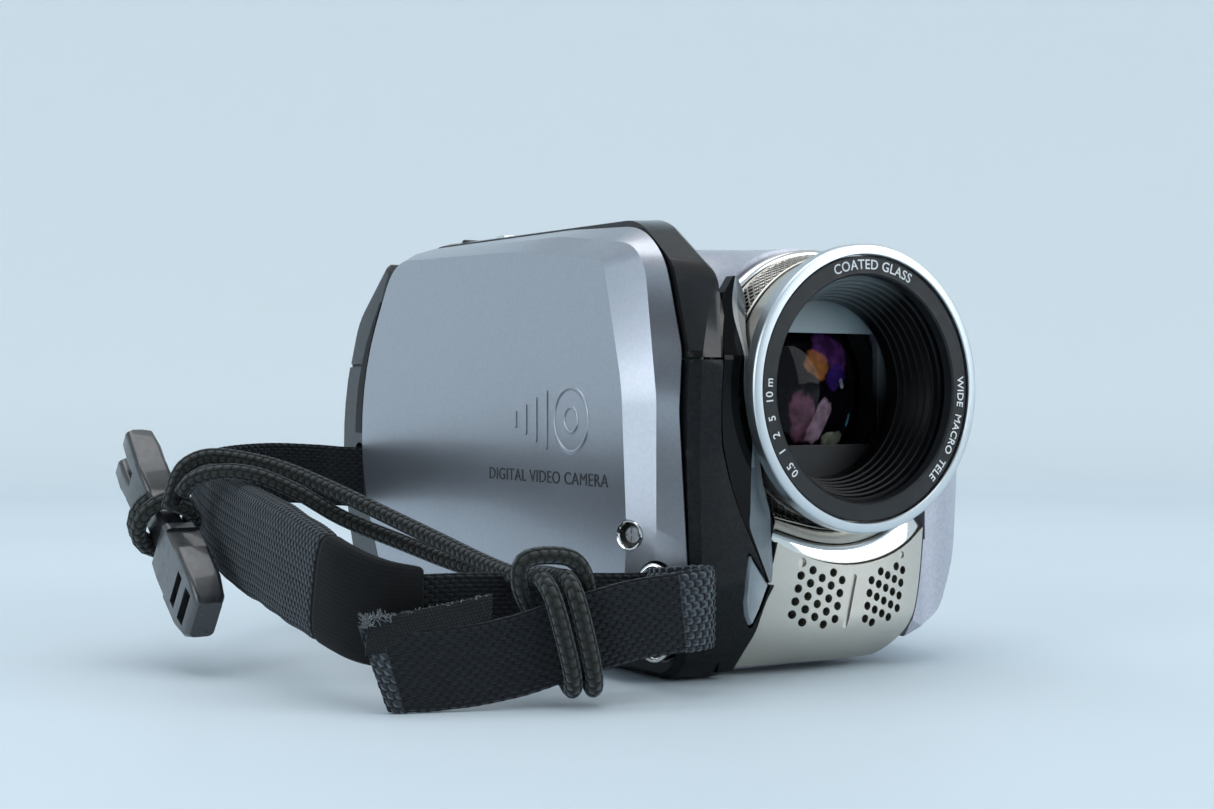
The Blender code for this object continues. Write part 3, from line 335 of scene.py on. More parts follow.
def place(point, level, axis):
    """2-D outline point at a level along an axis, as a 3-D point."""
    if axis == "X":
        return Vector((level, point[0], point[1]))
    if axis == "Y":
        return Vector((point[0], level, point[1]))
    return Vector((point[0], point[1], level))


def loft(sections, closed=False, uv=None):
    """Solid through rings of 3-D points; closed joins last ring to first."""
    bm = bmesh.new()
    rings = [[bm.verts.new(p) for p in ring] for ring in sections]
    pairs = list(zip(rings, rings[1:]))
    if closed:
        pairs.append((rings[-1], rings[0]))
    layer = bm.loops.layers.uv.new("UVMap") if uv else None
    for k, (low, high) in enumerate(pairs):
        count = len(low)
        for i in range(count):
            j = (i + 1) % count
            face = bm.faces.new((low[i], low[j], high[j], high[i]))
            if uv:
                corners = ((k, i), (k, i + 1), (k + 1, i + 1), (k + 1, i))
                for loop, (a, b) in zip(face.loops, corners):
                    loop[layer].uv = (uv[0][a], uv[1][b])
    if not closed:
        bm.faces.new(rings[0])
        bm.faces.new(rings[-1])
    return bm


def prism(outline, axis, low, high):
    """Solid of constant outline between two levels of an axis."""
    return loft([[place(p, level, axis) for p in outline] for level in (low, high)])


def block(low, high, radius=0.0, axis="Z"):
    """Box, with rounded edges along one axis."""
    a, b = {"X": (1, 2), "Y": (0, 2), "Z": (0, 1)}[axis]
    along = {"X": 0, "Y": 1, "Z": 2}[axis]
    corners = [(low[a], low[b], radius), (high[a], low[b], radius),
               (high[a], high[b], radius), (low[a], high[b], radius)]
    outline = rounded(corners, 6) if radius else [Vector(c[:2]) for c in corners]
    return prism(outline, axis, low[along], high[along])


def around(centre, radius, angle, level, axis):
    """Point at a radius and angle around an axis through centre."""
    a, b = radius * math.cos(angle), radius * math.sin(angle)
    if axis == "X":
        return Vector((level, centre[1] + a, centre[2] + b))
    if axis == "Y":
        return Vector((centre[0] + a, level, centre[2] + b))
    return Vector((centre[0] + a, centre[1] + b, level))


def turned(profile, centre=None, axis="Y", segments=144):
    """Closed (radius, level) profile turned around an axis through centre."""
    centre = centre or (LENS_X, 0, LENS_Z)
    return loft([[around(centre, r, 2 * math.pi * k / segments, y, axis) for r, y in profile]
                 for k in range(segments)], closed=True)


def disc(radius, centre, low, high, axis="Y", segments=48, chamfer=0.0):
    """Solid cylinder with optional chamfers."""
    levels = [(radius, low), (radius, high)]
    if chamfer:
        levels = [(radius - chamfer, low), (radius, low + chamfer), (radius, high - chamfer),
                  (radius - chamfer, high)]
    return loft([[around(centre, r, 2 * math.pi * k / segments, y, axis) for k in range(segments)]
                 for r, y in levels])


def patch(across, along, point, back):
    """Curved plate: a grid of points and the same grid moved by back(point)."""
    bm = bmesh.new()
    front, rear = [], []
    for j in range(along + 1):
        row = [point(i / across, j / along) for i in range(across + 1)]
        front.append([bm.verts.new(p) for p in row])
        rear.append([bm.verts.new(back(p)) for p in row])
    for j in range(along):
        for i in range(across):
            bm.faces.new((front[j][i], front[j][i + 1], front[j + 1][i + 1], front[j + 1][i]))
            bm.faces.new((rear[j][i], rear[j + 1][i], rear[j + 1][i + 1], rear[j][i + 1]))
    rim = [(j, 0) for j in range(along)] + [(along, i) for i in range(across)]
    rim += [(j, across) for j in range(along, 0, -1)] + [(0, i) for i in range(across, 0, -1)]
    for k, (j, i) in enumerate(rim):
        j2, i2 = rim[(k + 1) % len(rim)]
        bm.faces.new((front[j][i], rear[j][i], rear[j2][i2], front[j2][i2]))
    return bm


def trim(bm, level, keep_above):
    """Cut a solid at a height and close the cut faces."""
    geometry = bm.verts[:] + bm.edges[:] + bm.faces[:]
    result = bmesh.ops.bisect_plane(bm, geom=geometry, dist=1e-5, plane_co=(0, 0, level),
                                    plane_no=(0, 0, 1), clear_inner=keep_above,
                                    clear_outer=not keep_above)
    edges = [item for item in result["geom_cut"] if isinstance(item, bmesh.types.BMEdge)]
    bmesh.ops.edgeloop_fill(bm, edges=edges)
    return bm


def through(route, spacing):
    """Points at even spacing on a smooth curve through the route's points."""
    points = [Vector(p) for p in route]
    fine = []
    for i in range(len(points) - 1):
        p1, p2 = points[i], points[i + 1]
        p0 = points[i - 1] if i else p1 * 2 - p2
        p3 = points[i + 2] if i + 2 < len(points) else p2 * 2 - p1
        for k in range(24):
            t = k / 24
            fine.append(0.5 * (2 * p1 + (p2 - p0) * t + (2 * p0 - 5 * p1 + 4 * p2 - p3) * t * t
                               + (3 * p1 - p0 - 3 * p2 + p3) * t ** 3))
    fine.append(points[-1])
    return spread(fine, max(2, round(lengths(fine)[-1] / spacing)))


def across_at(line, height, column):
    """A column of a line at a height; column 0 holds the heights, from low to high."""
    for a, b in zip(line, line[1:]):
        if height <= b[0]:
            share = max(0.0, (height - a[0]) / (b[0] - a[0]))
            return a[column] + (b[column] - a[column]) * share
    return line[-1][column]


def add_to(whole, part):
    """Move one solid into another bmesh."""
    mesh = bpy.data.meshes.new("part")
    part.to_mesh(mesh)
    part.free()
    whole.from_mesh(mesh)
    bpy.data.meshes.remove(mesh)


# ---------------------------------------------------------------- objects

def shade(obj, angle):
    """Smooth shading up to an angle; large flat faces keep their own direction."""
    obj.data.shade_smooth()
    obj.data.set_sharp_from_angle(angle=math.radians(angle))
    if angle < 60:
        mod = obj.modifiers.new("flat faces", "WEIGHTED_NORMAL")
        mod.keep_sharp = True
        bpy.context.view_layer.update()
        applied(obj)


def plain(name, bm, mat):
    """Mesh object made from a bmesh in millimetres, riding on nothing yet."""
    bmesh.ops.recalc_face_normals(bm, faces=bm.faces)
    bmesh.ops.scale(bm, vec=(MM, MM, MM), verts=bm.verts)
    mesh = bpy.data.meshes.new(name)
    bm.to_mesh(mesh)
    bm.free()
    mesh.materials.append(mat)
    obj = bpy.data.objects.new(name, mesh)
    bpy.context.scene.collection.objects.link(obj)
    return obj


def applied(obj):
    """Replace the mesh by what its modifiers make of it."""
    graph = bpy.context.evaluated_depsgraph_get()
    mesh = bpy.data.meshes.new_from_object(obj.evaluated_get(graph))
    old = obj.data
    obj.modifiers.clear()
    obj.data = mesh
    bpy.data.meshes.remove(old)


def carve(obj, *tools, operation="DIFFERENCE"):
    """Exact Booleans with guide solids, applied and cleared away."""
    made = []
    for k, bm in enumerate(tools):
        tool = plain("guide_%d" % k, bm, obj.data.materials[0])
        mod = obj.modifiers.new("carve", "BOOLEAN")
        mod.operation = operation
        mod.object = tool
        mod.solver = "EXACT"
        made.append(tool)
    bpy.context.view_layer.update()
    applied(obj)
    for tool in made:
        mesh = tool.data
        bpy.data.objects.remove(tool)
        bpy.data.meshes.remove(mesh)


def bevel(obj, width, angle=30.0, segments=2):
    """Small rounded edges, width in millimetres."""
    mod = obj.modifiers.new("edges", "BEVEL")
    mod.width = width * MM
    mod.segments = segments
    mod.limit_method = "ANGLE"
    mod.angle_limit = math.radians(angle)
    mod.use_clamp_overlap = True


def settle(obj, like, stands=True, body=None, angle=30.0):
    """Shade a finished piece; it takes its body from a CAD node and may stand for it."""
    if obj.modifiers:
        bpy.context.view_layer.update()
        applied(obj)
    shade(obj, angle)
    nodes = (like,) if isinstance(like, str) else like
    if stands:
        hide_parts(*nodes)
    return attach(obj, body or BODY[nodes[0]])


def piece(name, bm, mat, like, stands=True, angle=30.0, edge=0.0, edge_angle=30.0):
    """Finished piece made from a solid, with optional rounded edges."""
    obj = plain(name, bm, mat)
    if edge:
        bevel(obj, edge, edge_angle)
    return settle(obj, like, stands, None, angle)


def refined(node, mat, edge=0.25, edge_angle=25.0, angle=30.0, height=1.0):
    """A CAD node's own solid, with clean faces, rounded edges and its material; height flattens it."""
    bm = bmesh.new()
    bm.from_mesh(frame["nodes"][node].data)
    bmesh.ops.remove_doubles(bm, verts=bm.verts, dist=1e-7)
    bmesh.ops.dissolve_limit(bm, angle_limit=math.radians(0.5), verts=bm.verts, edges=bm.edges)
    bmesh.ops.scale(bm, vec=(1 / MM, 1 / MM, 1 / MM), verts=bm.verts)
    foot = min(v.co.z for v in bm.verts)
    for v in bm.verts:
        v.co.z = foot + (v.co.z - foot) * height
    return piece(node + "_finished", bm, mat, node, True, angle, edge, edge_angle)


# ---------------------------------------------------------------- hard-disk cover

def cover_outline(level):
    """Side outlines of the hard-disk cover: face, bevel edge and rim."""
    corners = {
        "face": [(-43.6, 6.0, 4), (-45.0, 22, 20), (-43.6, 44, 30), (-38.6, 62.6, 1.6), (-12, 65.4, 60),
                 (31.0, 66.3, 10), (50.0, 37.5, 37), (34.0, 6.0, 8)],
        "bevel": [(-46.5, 4.2, 4), (-48.6, 20, 12), (-48.6, 42, 12), (-45.2, 64.6, 7), (-22, 67.3, 30),
                  (32.0, 67.7, 10), (51.0, 37.5, 37), (35.0, 4.2, 8)],
        "rim": [(-48.5, 3.0, 4), (-51.8, 16, 6), (-49.6, 40, 6), (-50.3, 49, 5), (-44.6, 67.6, 12),
                (-20, 68.6, 30), (32.5, 68.6, 10), (51.5, 37.5, 37), (35.5, 3.0, 8)],
    }
    outline = rounded(corners[level])
    start = min(range(len(outline)), key=lambda i: (outline[i] - Vector((-60, -10))).length)
    return even(outline[start:] + outline[:start], 220)


def cover_marks():
    """Raised disk symbol on the cover: two rings and four bars that shorten."""
    x = GRIP_X
    centre = (0, -29.5, 38.6)
    ridges = []
    for radius, half in ((4.9, 0.42), (1.9, 0.36)):
        profile = [(radius - half, x + 0.2), (radius - half * 0.7, x - 0.12), (radius, x - 0.2),
                   (radius + half * 0.7, x - 0.12), (radius + half, x + 0.2)]
        ridges.append(turned(profile, centre, "X", 72))
    for k, y in enumerate((-22.2, -19.0, -15.8, -12.6)):
        low, high = (x - 0.2, y - 0.45, 33.9 + 1.1 * k), (x + 0.2, y + 0.45, 43.3 - 1.1 * k)
        ridges.append(block(low, high, 0.42, "X"))
    for k, bm in enumerate(ridges):
        piece("cover_symbol_%d" % k, bm, SILVER, "grip_side_cover", False, edge=0.08)


def flat_text(name, body, size, mat, put, like, thick=0.06, weight=0.02):
    """Generic lettering as a thin solid; put maps letter coordinates to the object."""
    curve = bpy.data.curves.new(name, "FONT")
    curve.body = body
    curve.size = size
    curve.offset = weight
    curve.space_character = 1.06
    curve.align_x = "CENTER"
    curve.align_y = "CENTER"
    curve.resolution_u = 4
    holder = bpy.data.objects.new(name + "_letters", curve)
    bpy.context.scene.collection.objects.link(holder)
    bpy.context.view_layer.update()
    mesh = bpy.data.meshes.new_from_object(holder.evaluated_get(bpy.context.evaluated_depsgraph_get()))
    bpy.data.objects.remove(holder)
    bpy.data.curves.remove(curve)
    bm = bmesh.new()
    bm.from_mesh(mesh)
    bpy.data.meshes.remove(mesh)
    bmesh.ops.remove_doubles(bm, verts=bm.verts, dist=1e-5)
    bmesh.ops.solidify(bm, geom=bm.faces[:], thickness=thick)
    for vert in bm.verts:
        vert.co = put(vert.co)
    return piece(name, bm, mat, like, False)


SCREW_WELL_R = 2.3
SCREW = Matrix.Translation((-30.45, -44.9, 22.0)) @ Matrix.Rotation(math.radians(21.7), 4, "Z")


def aimed(bm):
    """Solid built round the X axis at the origin, moved to the screw well in the cover's bevel."""
    bmesh.ops.transform(bm, matrix=SCREW, verts=bm.verts)
    return bm


def grip_cover():
    """Bulged cover over the hard disk with its crisp front bevels."""
    levels = [(GRIP_X, "face", 0.0), (-28.2, "bevel", 0.0), (COVER_X - 0.4, "rim", 0.0),
              (COVER_X, "rim", 0.35),
              (COVER_X, "rim", 1.7), (-27.4, "bevel", 1.7), (GRIP_X + 1.7, "face", 1.7)]
    sections = []
    for x, level, depth in levels:
        outline = cover_outline(level)
        if depth:
            outline = inset(outline, depth)
        sections.append([place(p, x, "X") for p in outline])
    cover = plain("grip_cover_shell", loft(sections), SILVER)
    carve(cover, aimed(disc(SCREW_WELL_R, (0, 0, 0), -4, 2.2, "X", 48)), eyelet_seat())
    bevel(cover, 0.22, 14)
    settle(cover, "grip_side_cover", angle=16)
    rim = [(1.8, 1.6), (1.8, 0.12), (1.95, -0.12), (2.15, -0.2), (2.27, -0.05), (2.27, 1.6)]
    piece("screw_well_rim", aimed(turned(rim, (0, 0, 0), "X", 48)), CHROME, "grip_side_cover", False)
    floor = aimed(disc(1.78, (0, 0, 0), 1.2, 1.7, "X", 32))
    piece("screw_well_floor", floor, BLACK, "grip_side_cover", False)
    screw = plain("cover_screw", aimed(disc(1.25, (0, 0, 0), 0.6, 1.25, "X", 32, 0.2)), STEEL)
    carve(screw, aimed(block((0, -0.17, -0.95), (0.85, 0.17, 0.95))),
          aimed(block((0, -0.95, -0.17), (0.85, 0.95, 0.17))))
    settle(screw, "grip_side_cover", False)
    cover_marks()

    def on_side(co):
        return Vector((GRIP_X - 0.08 - co.z, -22.0 - 1.12 * co.x, 29.6 + co.y))

    flat_text("side_lettering", "DIGITAL VIDEO CAMERA", 2.75, DARK_MARK, on_side, "grip_side_cover",
              weight=0.0)


EYELET = Vector((-28.2, -48.4, 10.9))
EYELET_OUT = Vector((-0.8, -0.6, 0.0))
EYELET_ACROSS = Vector((0.6, -0.8, 0.0))
EYELET_HALF = (3.7, 7.2)


def oval(extra, depth, points=64):
    """Oval ring of points in the plane of the front eyelet."""
    ring = []
    for k in range(points):
        angle = 2 * math.pi * k / points
        ring.append(EYELET + EYELET_ACROSS * (EYELET_HALF[0] + extra) * math.cos(angle)
                    + UP * (EYELET_HALF[1] + extra) * math.sin(angle) + EYELET_OUT * depth)
    return ring


def eyelet_seat():
    """Solid that clears the eyelet's slot through cover and shell."""
    return loft([oval(GAP, 6.0), oval(GAP, -7.5)])


def eyelet_rim():
    """Polished rim of the strap slot."""
    rings = [oval(0.0, 0.75), oval(-0.2, 1.05), oval(-0.5, 1.1), oval(-0.8, 0.9), oval(-0.95, 0.5),
             oval(-0.95, -1.6), oval(0.0, -1.6)]
    piece("eyelet_rim", loft(rings, closed=True), CHROME, "front_eyelet", angle=50)


# ---------------------------------------------------------------- dark band

def band_outline(x):
    """Side outline of the dark centre band, one point list for all stations."""
    corners = {
        -24.2: [(-46.5, 1.2, 5), (-51.4, 14, 8), (-50.6, 34, 12), (-51.4, 48, 6),
                (-47.6, 61.5, 8), (-38.0, 69.0, 10), (31.0, 69.0, 11), (50.4, 37.5, 37), (34.6, 1.2, 10)],
        -22.9: [(-47.2, 0.3, 6), (-52.7, 14, 8), (-52.0, 34, 12), (-52.6, 48, 6),
                (-49.0, 61.0, 8), (-37.0, TOP_Z - 0.2, 11), (31.0, TOP_Z - 0.2, 11), (50.4, 37.5, 37),
                (34.6, 0.3, 10)],
        -19.5: [(-47.5, 0.0, 6), (-52.9, 14, 8), (-52.5, 34, 12), (-52.8, 47, 6),
                (-49.6, 60.0, 8), (-36.0, TOP_Z, 12), (31.0, TOP_Z, 11), (50.4, 37.5, 37), (34.6, 0.0, 10)],
        -15.2: [(-47.5, 0.0, 6), (-52.9, 14, 8), (-52.5, 34, 12), (-51.8, 47, 6),
                (-45.0, 61.0, 8), (-32.0, 68.0, 12), (31.0, 68.2, 11), (50.4, 37.5, 37), (34.6, 0.0, 10)],
    }
    return rounded(corners[x])


def band_shell():
    """Shell of the centre band; above the seam its front crease runs diagonally."""
    outer = []
    for x in (-24.2, -22.9, -19.5, -15.2):
        ring = []
        for p in band_outline(x):
            at = x
            if p.x < -30 and p.y > SEAM_Z:
                rise = min(1.0, (p.y - SEAM_Z) / 12.5)
                if x == -22.9:
                    at = x + 4.4 * rise
                elif x == -19.5:
                    at = x + 1.9 * rise
            ring.append(place(p, at, "X"))
        outer.append(ring)
    inner = [[place(p, x, "X") for p in inset(band_outline(-24.2), 2.6)] for x in (-15.2, -24.2)]
    return loft(outer + inner, closed=True)


# height, left edge, crease and right edge of the almond window
WINDOW = ((14.6, -10.6, -10.4, -9.9), (16.4, -11.4, -11.2, -9.2), (19.5, -12.9, -12.6, -8.9),
          (23.0, -14.7, -14.1, -8.6), (25.0, -15.7, -14.0, -8.8), (29.0, -17.3, -13.9, -10.6),
          (32.5, -18.3, -13.8, -11.6), (36.0, -19.0, -13.7, -12.3), (43.0, -19.1, -15.2, -14.45),
          (50.0, -18.4, -14.9, -13.4), (54.0, -17.3, -14.8, -11.8), (57.0, -15.9, -14.0, -10.6),
          (60.4, -12.6, -12.2, -11.6))
WINDOW_SIDES = through([(z, left, right) for z, left, _, right in WINDOW], 1.0)
WINDOW_CREASE = through([(z, crease, 0) for z, _, crease, _ in WINDOW], 1.0)
WINDOW_FRONT = -52.4
WINDOW_LEAN_FROM = 48.0
FACET_SLOPE = 0.4


def window_point(u, v, extra=0.0):
    """Point on the almond window: u from its left edge over the crease at 0.5, v upwards."""
    height = WINDOW[0][0] - extra + (WINDOW[-1][0] - WINDOW[0][0] + 2 * extra) * v
    left = across_at(WINDOW_SIDES, height, 1) - extra
    crease = across_at(WINDOW_CREASE, height, 1)
    right = across_at(WINDOW_SIDES, height, 2) + extra
    y = WINDOW_FRONT + 0.5 * max(0.0, height - WINDOW_LEAN_FROM)
    if u < 0.5:
        return Vector((left + (crease - left) * u * 2, y, height))
    x = crease + (right - crease) * (u - 0.5) * 2
    return Vector((x, y + FACET_SLOPE * (x - crease), height))


def window_cut():
    """Solid that clears the window's seat in the dark shells."""
    return patch(4, 40, lambda u, v: window_point(u, v, GAP) + Vector((0, 2.3, 0)),
                 lambda p: Vector((p.x, -62.0, p.z)))


def lamp_outline(extra=0.0):
    """Front outline of the lamp cap, or of its seat when made larger."""
    return rounded([(-14.2 - extra, 19.2 + extra, 0.3), (-15.0 - extra, 15.2, 2.0),
                    (-14.9 - extra, 12.4, 2.5), (-13.9 - extra, 9.6, 2.0), (-12.3, 7.6 - extra, 0.5),
                    (-11.5 + extra, 10.4, 1.5), (-10.8 + extra, 14.3, 0.3)], 8)


def laid_back(height):
    """How far the nose of the dark shell leans back at a height."""
    return 0.37 * max(0.0, NOSE_LEAN_FROM - height)


def lamp_section(outline, y):
    """Outline of the lamp cap at a depth, laid back with the nose it sits in."""
    return [Vector((p.x, y + laid_back(p.y), p.y)) for p in outline]


NOSE_LEAN_FROM = 14.0
NOSE_LOW, NOSE_HIGH = 1.2, 31.0
NOSE_LEFT = -16.8
NOSE_FRONT = -52.65
# height and right edge of the nose
NOSE_EDGE = through(((NOSE_LOW, -14.0, 0), (4.2, -12.6, 0), (7.0, -11.3, 0), (9.6, -10.9, 0),
                     (12.0, -10.5, 0), (15.4, -9.5, 0), (22.5, -8.9, 0), (NOSE_HIGH, -12.6, 0)), 0.6)


def nose_point(u, v):
    """Lower front of the dark shell beside the front panel, rounded towards the base."""
    height = NOSE_LOW + (NOSE_HIGH - NOSE_LOW) * v
    right = across_at(NOSE_EDGE, height, 1)
    return Vector((NOSE_LEFT + (right - NOSE_LEFT) * u, NOSE_FRONT + laid_back(height), height))


def dark_band():
    """Upper and lower dark shells with their seam, window and control seats."""
    upper = plain("top_shell", trim(band_shell(), SEAM_Z + GAP / 2, True), DARK_TOP)
    seats = [disc(r + GAP, (-19.7, y, 0), 68.1, 75, "Z", 48) for y, r in ((20.0, 3.6), (8.0, 2.9))]
    carve(upper, window_cut(), *seats)
    bevel(upper, 0.18, 28)
    settle(upper, "top_cover", angle=22)
    lower = plain("front_shell", trim(band_shell(), SEAM_Z - GAP / 2, False), DARK_GREY)
    carve(lower, patch(8, 40, nose_point, lambda p: Vector((p.x, -46.5, p.z))), operation="UNION")
    lamp_seat = loft([lamp_section(lamp_outline(GAP), y) for y in (-60, -50.0)])
    carve(lower, window_cut(), lamp_seat, eyelet_seat())
    bevel(lower, 0.18, 28)
    settle(lower, "front_frame", angle=22)


def seam_liner():
    """Dark strip that closes the view through the rear seam, and the black edge behind the cover, widened
    towards its foot as painted shade.
    """
    low, high = cad("rear_upper_housing")
    strip = block((low.x + 0.6, high.y - 4.5, SEAM_Z - 0.6), (-12.0, high.y - 0.3, SEAM_Z + 0.6), 0.2)
    piece("seam_strip", strip, BLACK, "rear_lower_housing", False)
    rim = cover_outline("rim")
    inner, outer = inset(rim, -0.7), inset(rim, -3.3)
    foot, head, fade = 34.8, 59.5, 26.0
    rows = [k for k, p in enumerate(rim) if p.x > 38 and foot < p.y < head]
    # painted shade: the black plate is the black frame behind the cover's rear edge, made wider towards its
    # foot where the cover's shadow falls
    edge = [inner[k] for k in rows]
    edge += [outer[k].lerp(inner[k], max(0.0, (rim[k].y - foot) / fade) ** 2) for k in reversed(rows)]
    plate = prism(edge, "X", low.x - 0.12, low.x + 0.5)
    piece("rear_black_edge_and_shade", plate, GLOSS_BLACK, "rear_upper_housing", False)


def windows():
    """Almond window in two facets with a painted highlight beside the crease, and the clear lamp cap with a
    painted highlight towards its right edge.
    """
    columns, rows = 16, 72
    plate = patch(columns, rows, window_point, lambda p: p + Vector((0, 1.8, 0)))
    almond = plain("almond_window", plate, GLOSS_BLACK)
    almond.data.materials.append(SMOKE)
    almond.data.materials.append(PAINTED_EDGE_HIGHLIGHT)
    for polygon in almond.data.polygons:
        row, side = divmod(polygon.index // 2, columns)
        if polygon.index < columns * rows * 2:
            polygon.material_index = 0 if side < columns // 2 else 1
            # painted highlight: faces just right of the crease in the upper rows take the pale edge material
            if 0 <= side - columns // 2 < 3 and row > 26:
                polygon.material_index = 2
    bevel(almond, 0.15, 40)
    settle(almond, "side_window", angle=12)
    clear = Look("clear cap", (0.30, 0.34, 0.37), 0.14)
    across = clear.split(clear.where)[0]
    # painted highlight: the cap turns paler towards its right edge
    tone = clear.mix(clear.span(across, -0.0136, -0.0116, 0.0, 1.0), (0.24, 0.285, 0.31), (0.42, 0.48, 0.51))
    tone = clear.mix(clear.span(clear.noise(500, 2), 0.3, 0.7, 0, 0.3), tone, (0.2, 0.23, 0.25))
    clear.set(clear.shader, {"Coat Weight": 0.8, "Coat Roughness": 0.04, "Base Color": tone})
    clear.bump(clear.noise(900, 2), 0.05, 0.0001)
    piece("lamp_cap", loft([lamp_section(lamp_outline(), -50.4), lamp_section(lamp_outline(), -52.4),
                            lamp_section(inset(lamp_outline(), 0.4), -52.85)]),
          clear.mat, "lamp_window", angle=35)


# ---------------------------------------------------------------- front panel

PANEL_LOW = 1.4
PANEL_ARC_R = 27.0
MIC_HOLE_R = 0.66
MIC_PITCH = (1.93, 1.95)


def corner_front(x):
    """Front edge of the champagne panel and corner cover, seen from above."""
    if x < 22.5:
        return -52.2 + ((x - 5.0) / 19.0) ** 2 * 3.0
    return -49.7 + 5.2 * ((x - 22.5) / (DOOR_X - 22.5)) ** 2.2


def panel_point(u, v):
    """Point on the champagne front panel: u across, v from base to lens."""
    x_low = -15.0 + 33.5 * u
    angle = math.radians(-121.5 + 67.5 * u)
    x_high = LENS_X + PANEL_ARC_R * math.cos(angle)
    z_high = LENS_Z + PANEL_ARC_R * math.sin(angle)
    x = x_low + (x_high - x_low) * v ** 0.6
    z = PANEL_LOW + (z_high - PANEL_LOW) * v
    x -= 4.0 * u ** 4 * (1 - v) ** 4
    left = min(1.0, max(0.0, (x + 15.0) / 12.0))
    rounding = 5.0 * (max(0.0, 9.0 - z) / 7.6) ** 2.2
    beside_nose = 0.32 * max(0.0, NOSE_LEAN_FROM - z)
    return Vector((x, corner_front(x) + rounding * left + beside_nose * (1 - left), z))


def microphone_panel():
    """Champagne panel with two groups of sound holes, a groove and two dimples."""
    plate = patch(72, 48, panel_point, lambda p: p + Vector((0, 1.5, 0)))
    panel = plain("microphone_panel_plate", plate, CHAMPAGNE)
    holes = bmesh.new()
    for x0, z0, tilt, squeeze in ((-0.75, 11.8, -0.26, 1.0), (12.6, 11.5, 0.28, 0.9)):
        for column in range(-2, 3):
            rows = 5 if column % 2 else 4
            for row in range(rows):
                z = z0 + (row - (rows - 1) / 2) * MIC_PITCH[1] + tilt * column
                x = x0 + MIC_PITCH[0] * column * squeeze + 0.23 * (z - z0)
                add_to(holes, disc(MIC_HOLE_R, (x, 0, z), -56, -44, "Y", 24))
    groove = rounded([(5.7, 15.0, 0.4), (3.8, 6.8, 0.4), (4.7, 6.8, 0.4), (6.7, 15.0, 0.4)], 6)
    groove = prism(groove, "Y", -54, -51.85)
    dimples = [disc(r, (x, 0, z), -54, corner_front(x) + 0.35, "Y", 32)
               for r, x, z in ((0.75, -3.6, 17.2), (0.6, 16.6, 17.4))]
    carve(panel, holes, groove, *dimples)
    settle(panel, "front_panel", angle=30)


def crescent_point(u, v):
    """Point on the polished crescent under the lens: u along the arc, v outwards."""
    swell = 0.62 * v + 2.35 * (1 - (1 - v) ** 2.6)
    ends = 2.0 * abs(2 * u - 1) ** 3
    return around((LENS_X, 0, LENS_Z), 21.7 + 5.1 * v, math.radians(-122 + 68 * u), ends - swell - 48.1, "Y")


def crescent():
    """Mirror-bright crescent between the lens ring and the panel."""
    piece("mirror_crescent", patch(64, 16, crescent_point, lambda p: p + Vector((0, 1.2, 0))), CHROME,
          "crescent_trim", angle=40, edge=0.12)


def corner_cover():
    """Rounded corner of the housing in front of the screen hinge."""
    steps, left, base = 24, 22.7, 0.8
    xs = [left + (DOOR_X - left) * k / steps for k in range(steps + 1)]
    plan = [Vector((x, corner_front(x))) for x in xs]
    plan += [Vector((DOOR_X, HOUSING_FRONT)), Vector((left, HOUSING_FRONT))]
    cover = plain("corner_shell", prism(plan, "Z", base, 60.0), LAVENDER)
    toe = [Vector((x, corner_front(x))) for x in (19.2, 20.2, 21.2, 22.2, 23.2)]
    toe += [Vector((23.2, -39.9)), Vector((19.2, -39.9))]
    carve(cover, prism(toe, "Z", base, 19.5), operation="UNION")
    carve(cover, patch(30, 24, lambda u, v: panel_point(u * 1.008, v) + Vector((0.1 * u, 1.9, 0)),
                       lambda p: Vector((p.x, -62.0, p.z))))
    side = rounded([(-51.2, base, 10), (-35.0, base, 1), (-35.0, 61.0, 1), (-51.2, 61.0, 1)], 16)
    carve(cover, prism(side, "X", 15, 40), operation="INTERSECT")
    hinge = cad("lcd_hinge_pin")
    axis = ((hinge[0].x + hinge[1].x) / 2, (hinge[0].y + hinge[1].y) / 2, 0)
    door_low, door_high = cad("lcd_cover")[0].z, cad("lcd_cover")[1].z
    carve(cover, disc(RING_R + 0.4, (LENS_X, 0, LENS_Z), -60, -30, "Y", 144),
          disc(4.95, axis, door_low - 0.5, door_high + 3, "Z", 64))
    carve(cover, block((HOUSING_RIGHT + GAP, -41.5, base), (DOOR_X - 0.6, -30.8, door_low - 0.5), 3.0),
          operation="UNION")
    carve(cover, disc(1.65, axis, door_low - 3.5, door_low + 1, "Z", 32))
    front = rounded([(10, base, 1), (13.5, base, 3), (26.0, 8.2, 6), (31.0, 17.0, 16),
                     (DOOR_X - 0.4, 34.0, 20), (DOOR_X, 58.0, 14), (10, 61.0, 1)], 14)
    back = rounded([(10, base, 1), (23.0, base, 3), (DOOR_X - 0.5, 5.4, 4), (DOOR_X - 0.3, 17.0, 8),
                    (DOOR_X - 0.1, 34.0, 8), (DOOR_X, 58.0, 14), (10, 61.0, 1)], 14)
    stations = ((-60, front), (-44, front), (-30, back))
    carve(cover, loft([[place(p, y, "Y") for p in outline] for y, outline in stations]),
          operation="INTERSECT")
    bevel(cover, 0.5, 28, 3)
    settle(cover, "front_corner_cover", angle=32)


# ---------------------------------------------------------------- lens

# centre, half size, turn and colour of each painted coloured reflection in the front glass
PAINTED_REFLECTIONS = (((11.5, 49.4), (4.4, 2.7), -22, (0.115, 0.032, 0.155)),
          ((8.0, 47.2), (2.7, 2.2), -28, (0.42, 0.15, 0.045)),
          ((12.2, 45.3), (2.5, 1.9), 28, (0.045, 0.017, 0.155)),
          ((5.3, 38.8), (2.6, 4.3), 12, (0.17, 0.07, 0.11)),
          ((8.7, 38.2), (1.7, 3.9), -24, (0.33, 0.22, 0.28)),
          ((12.6, 35.4), (2.8, 1.2), 4, (0.36, 0.37, 0.27)),
          ((16.1, 38.4), (0.4, 1.2), -12, (0.10, 0.30, 0.42)),
          ((13.6, 44.3), (0.5, 0.9), 20, (0.40, 0.42, 0.44)))
TEXT_R = 18.85
RIBS, RIB_PITCH, RIB_TAPER = 6, 1.15, 0.42


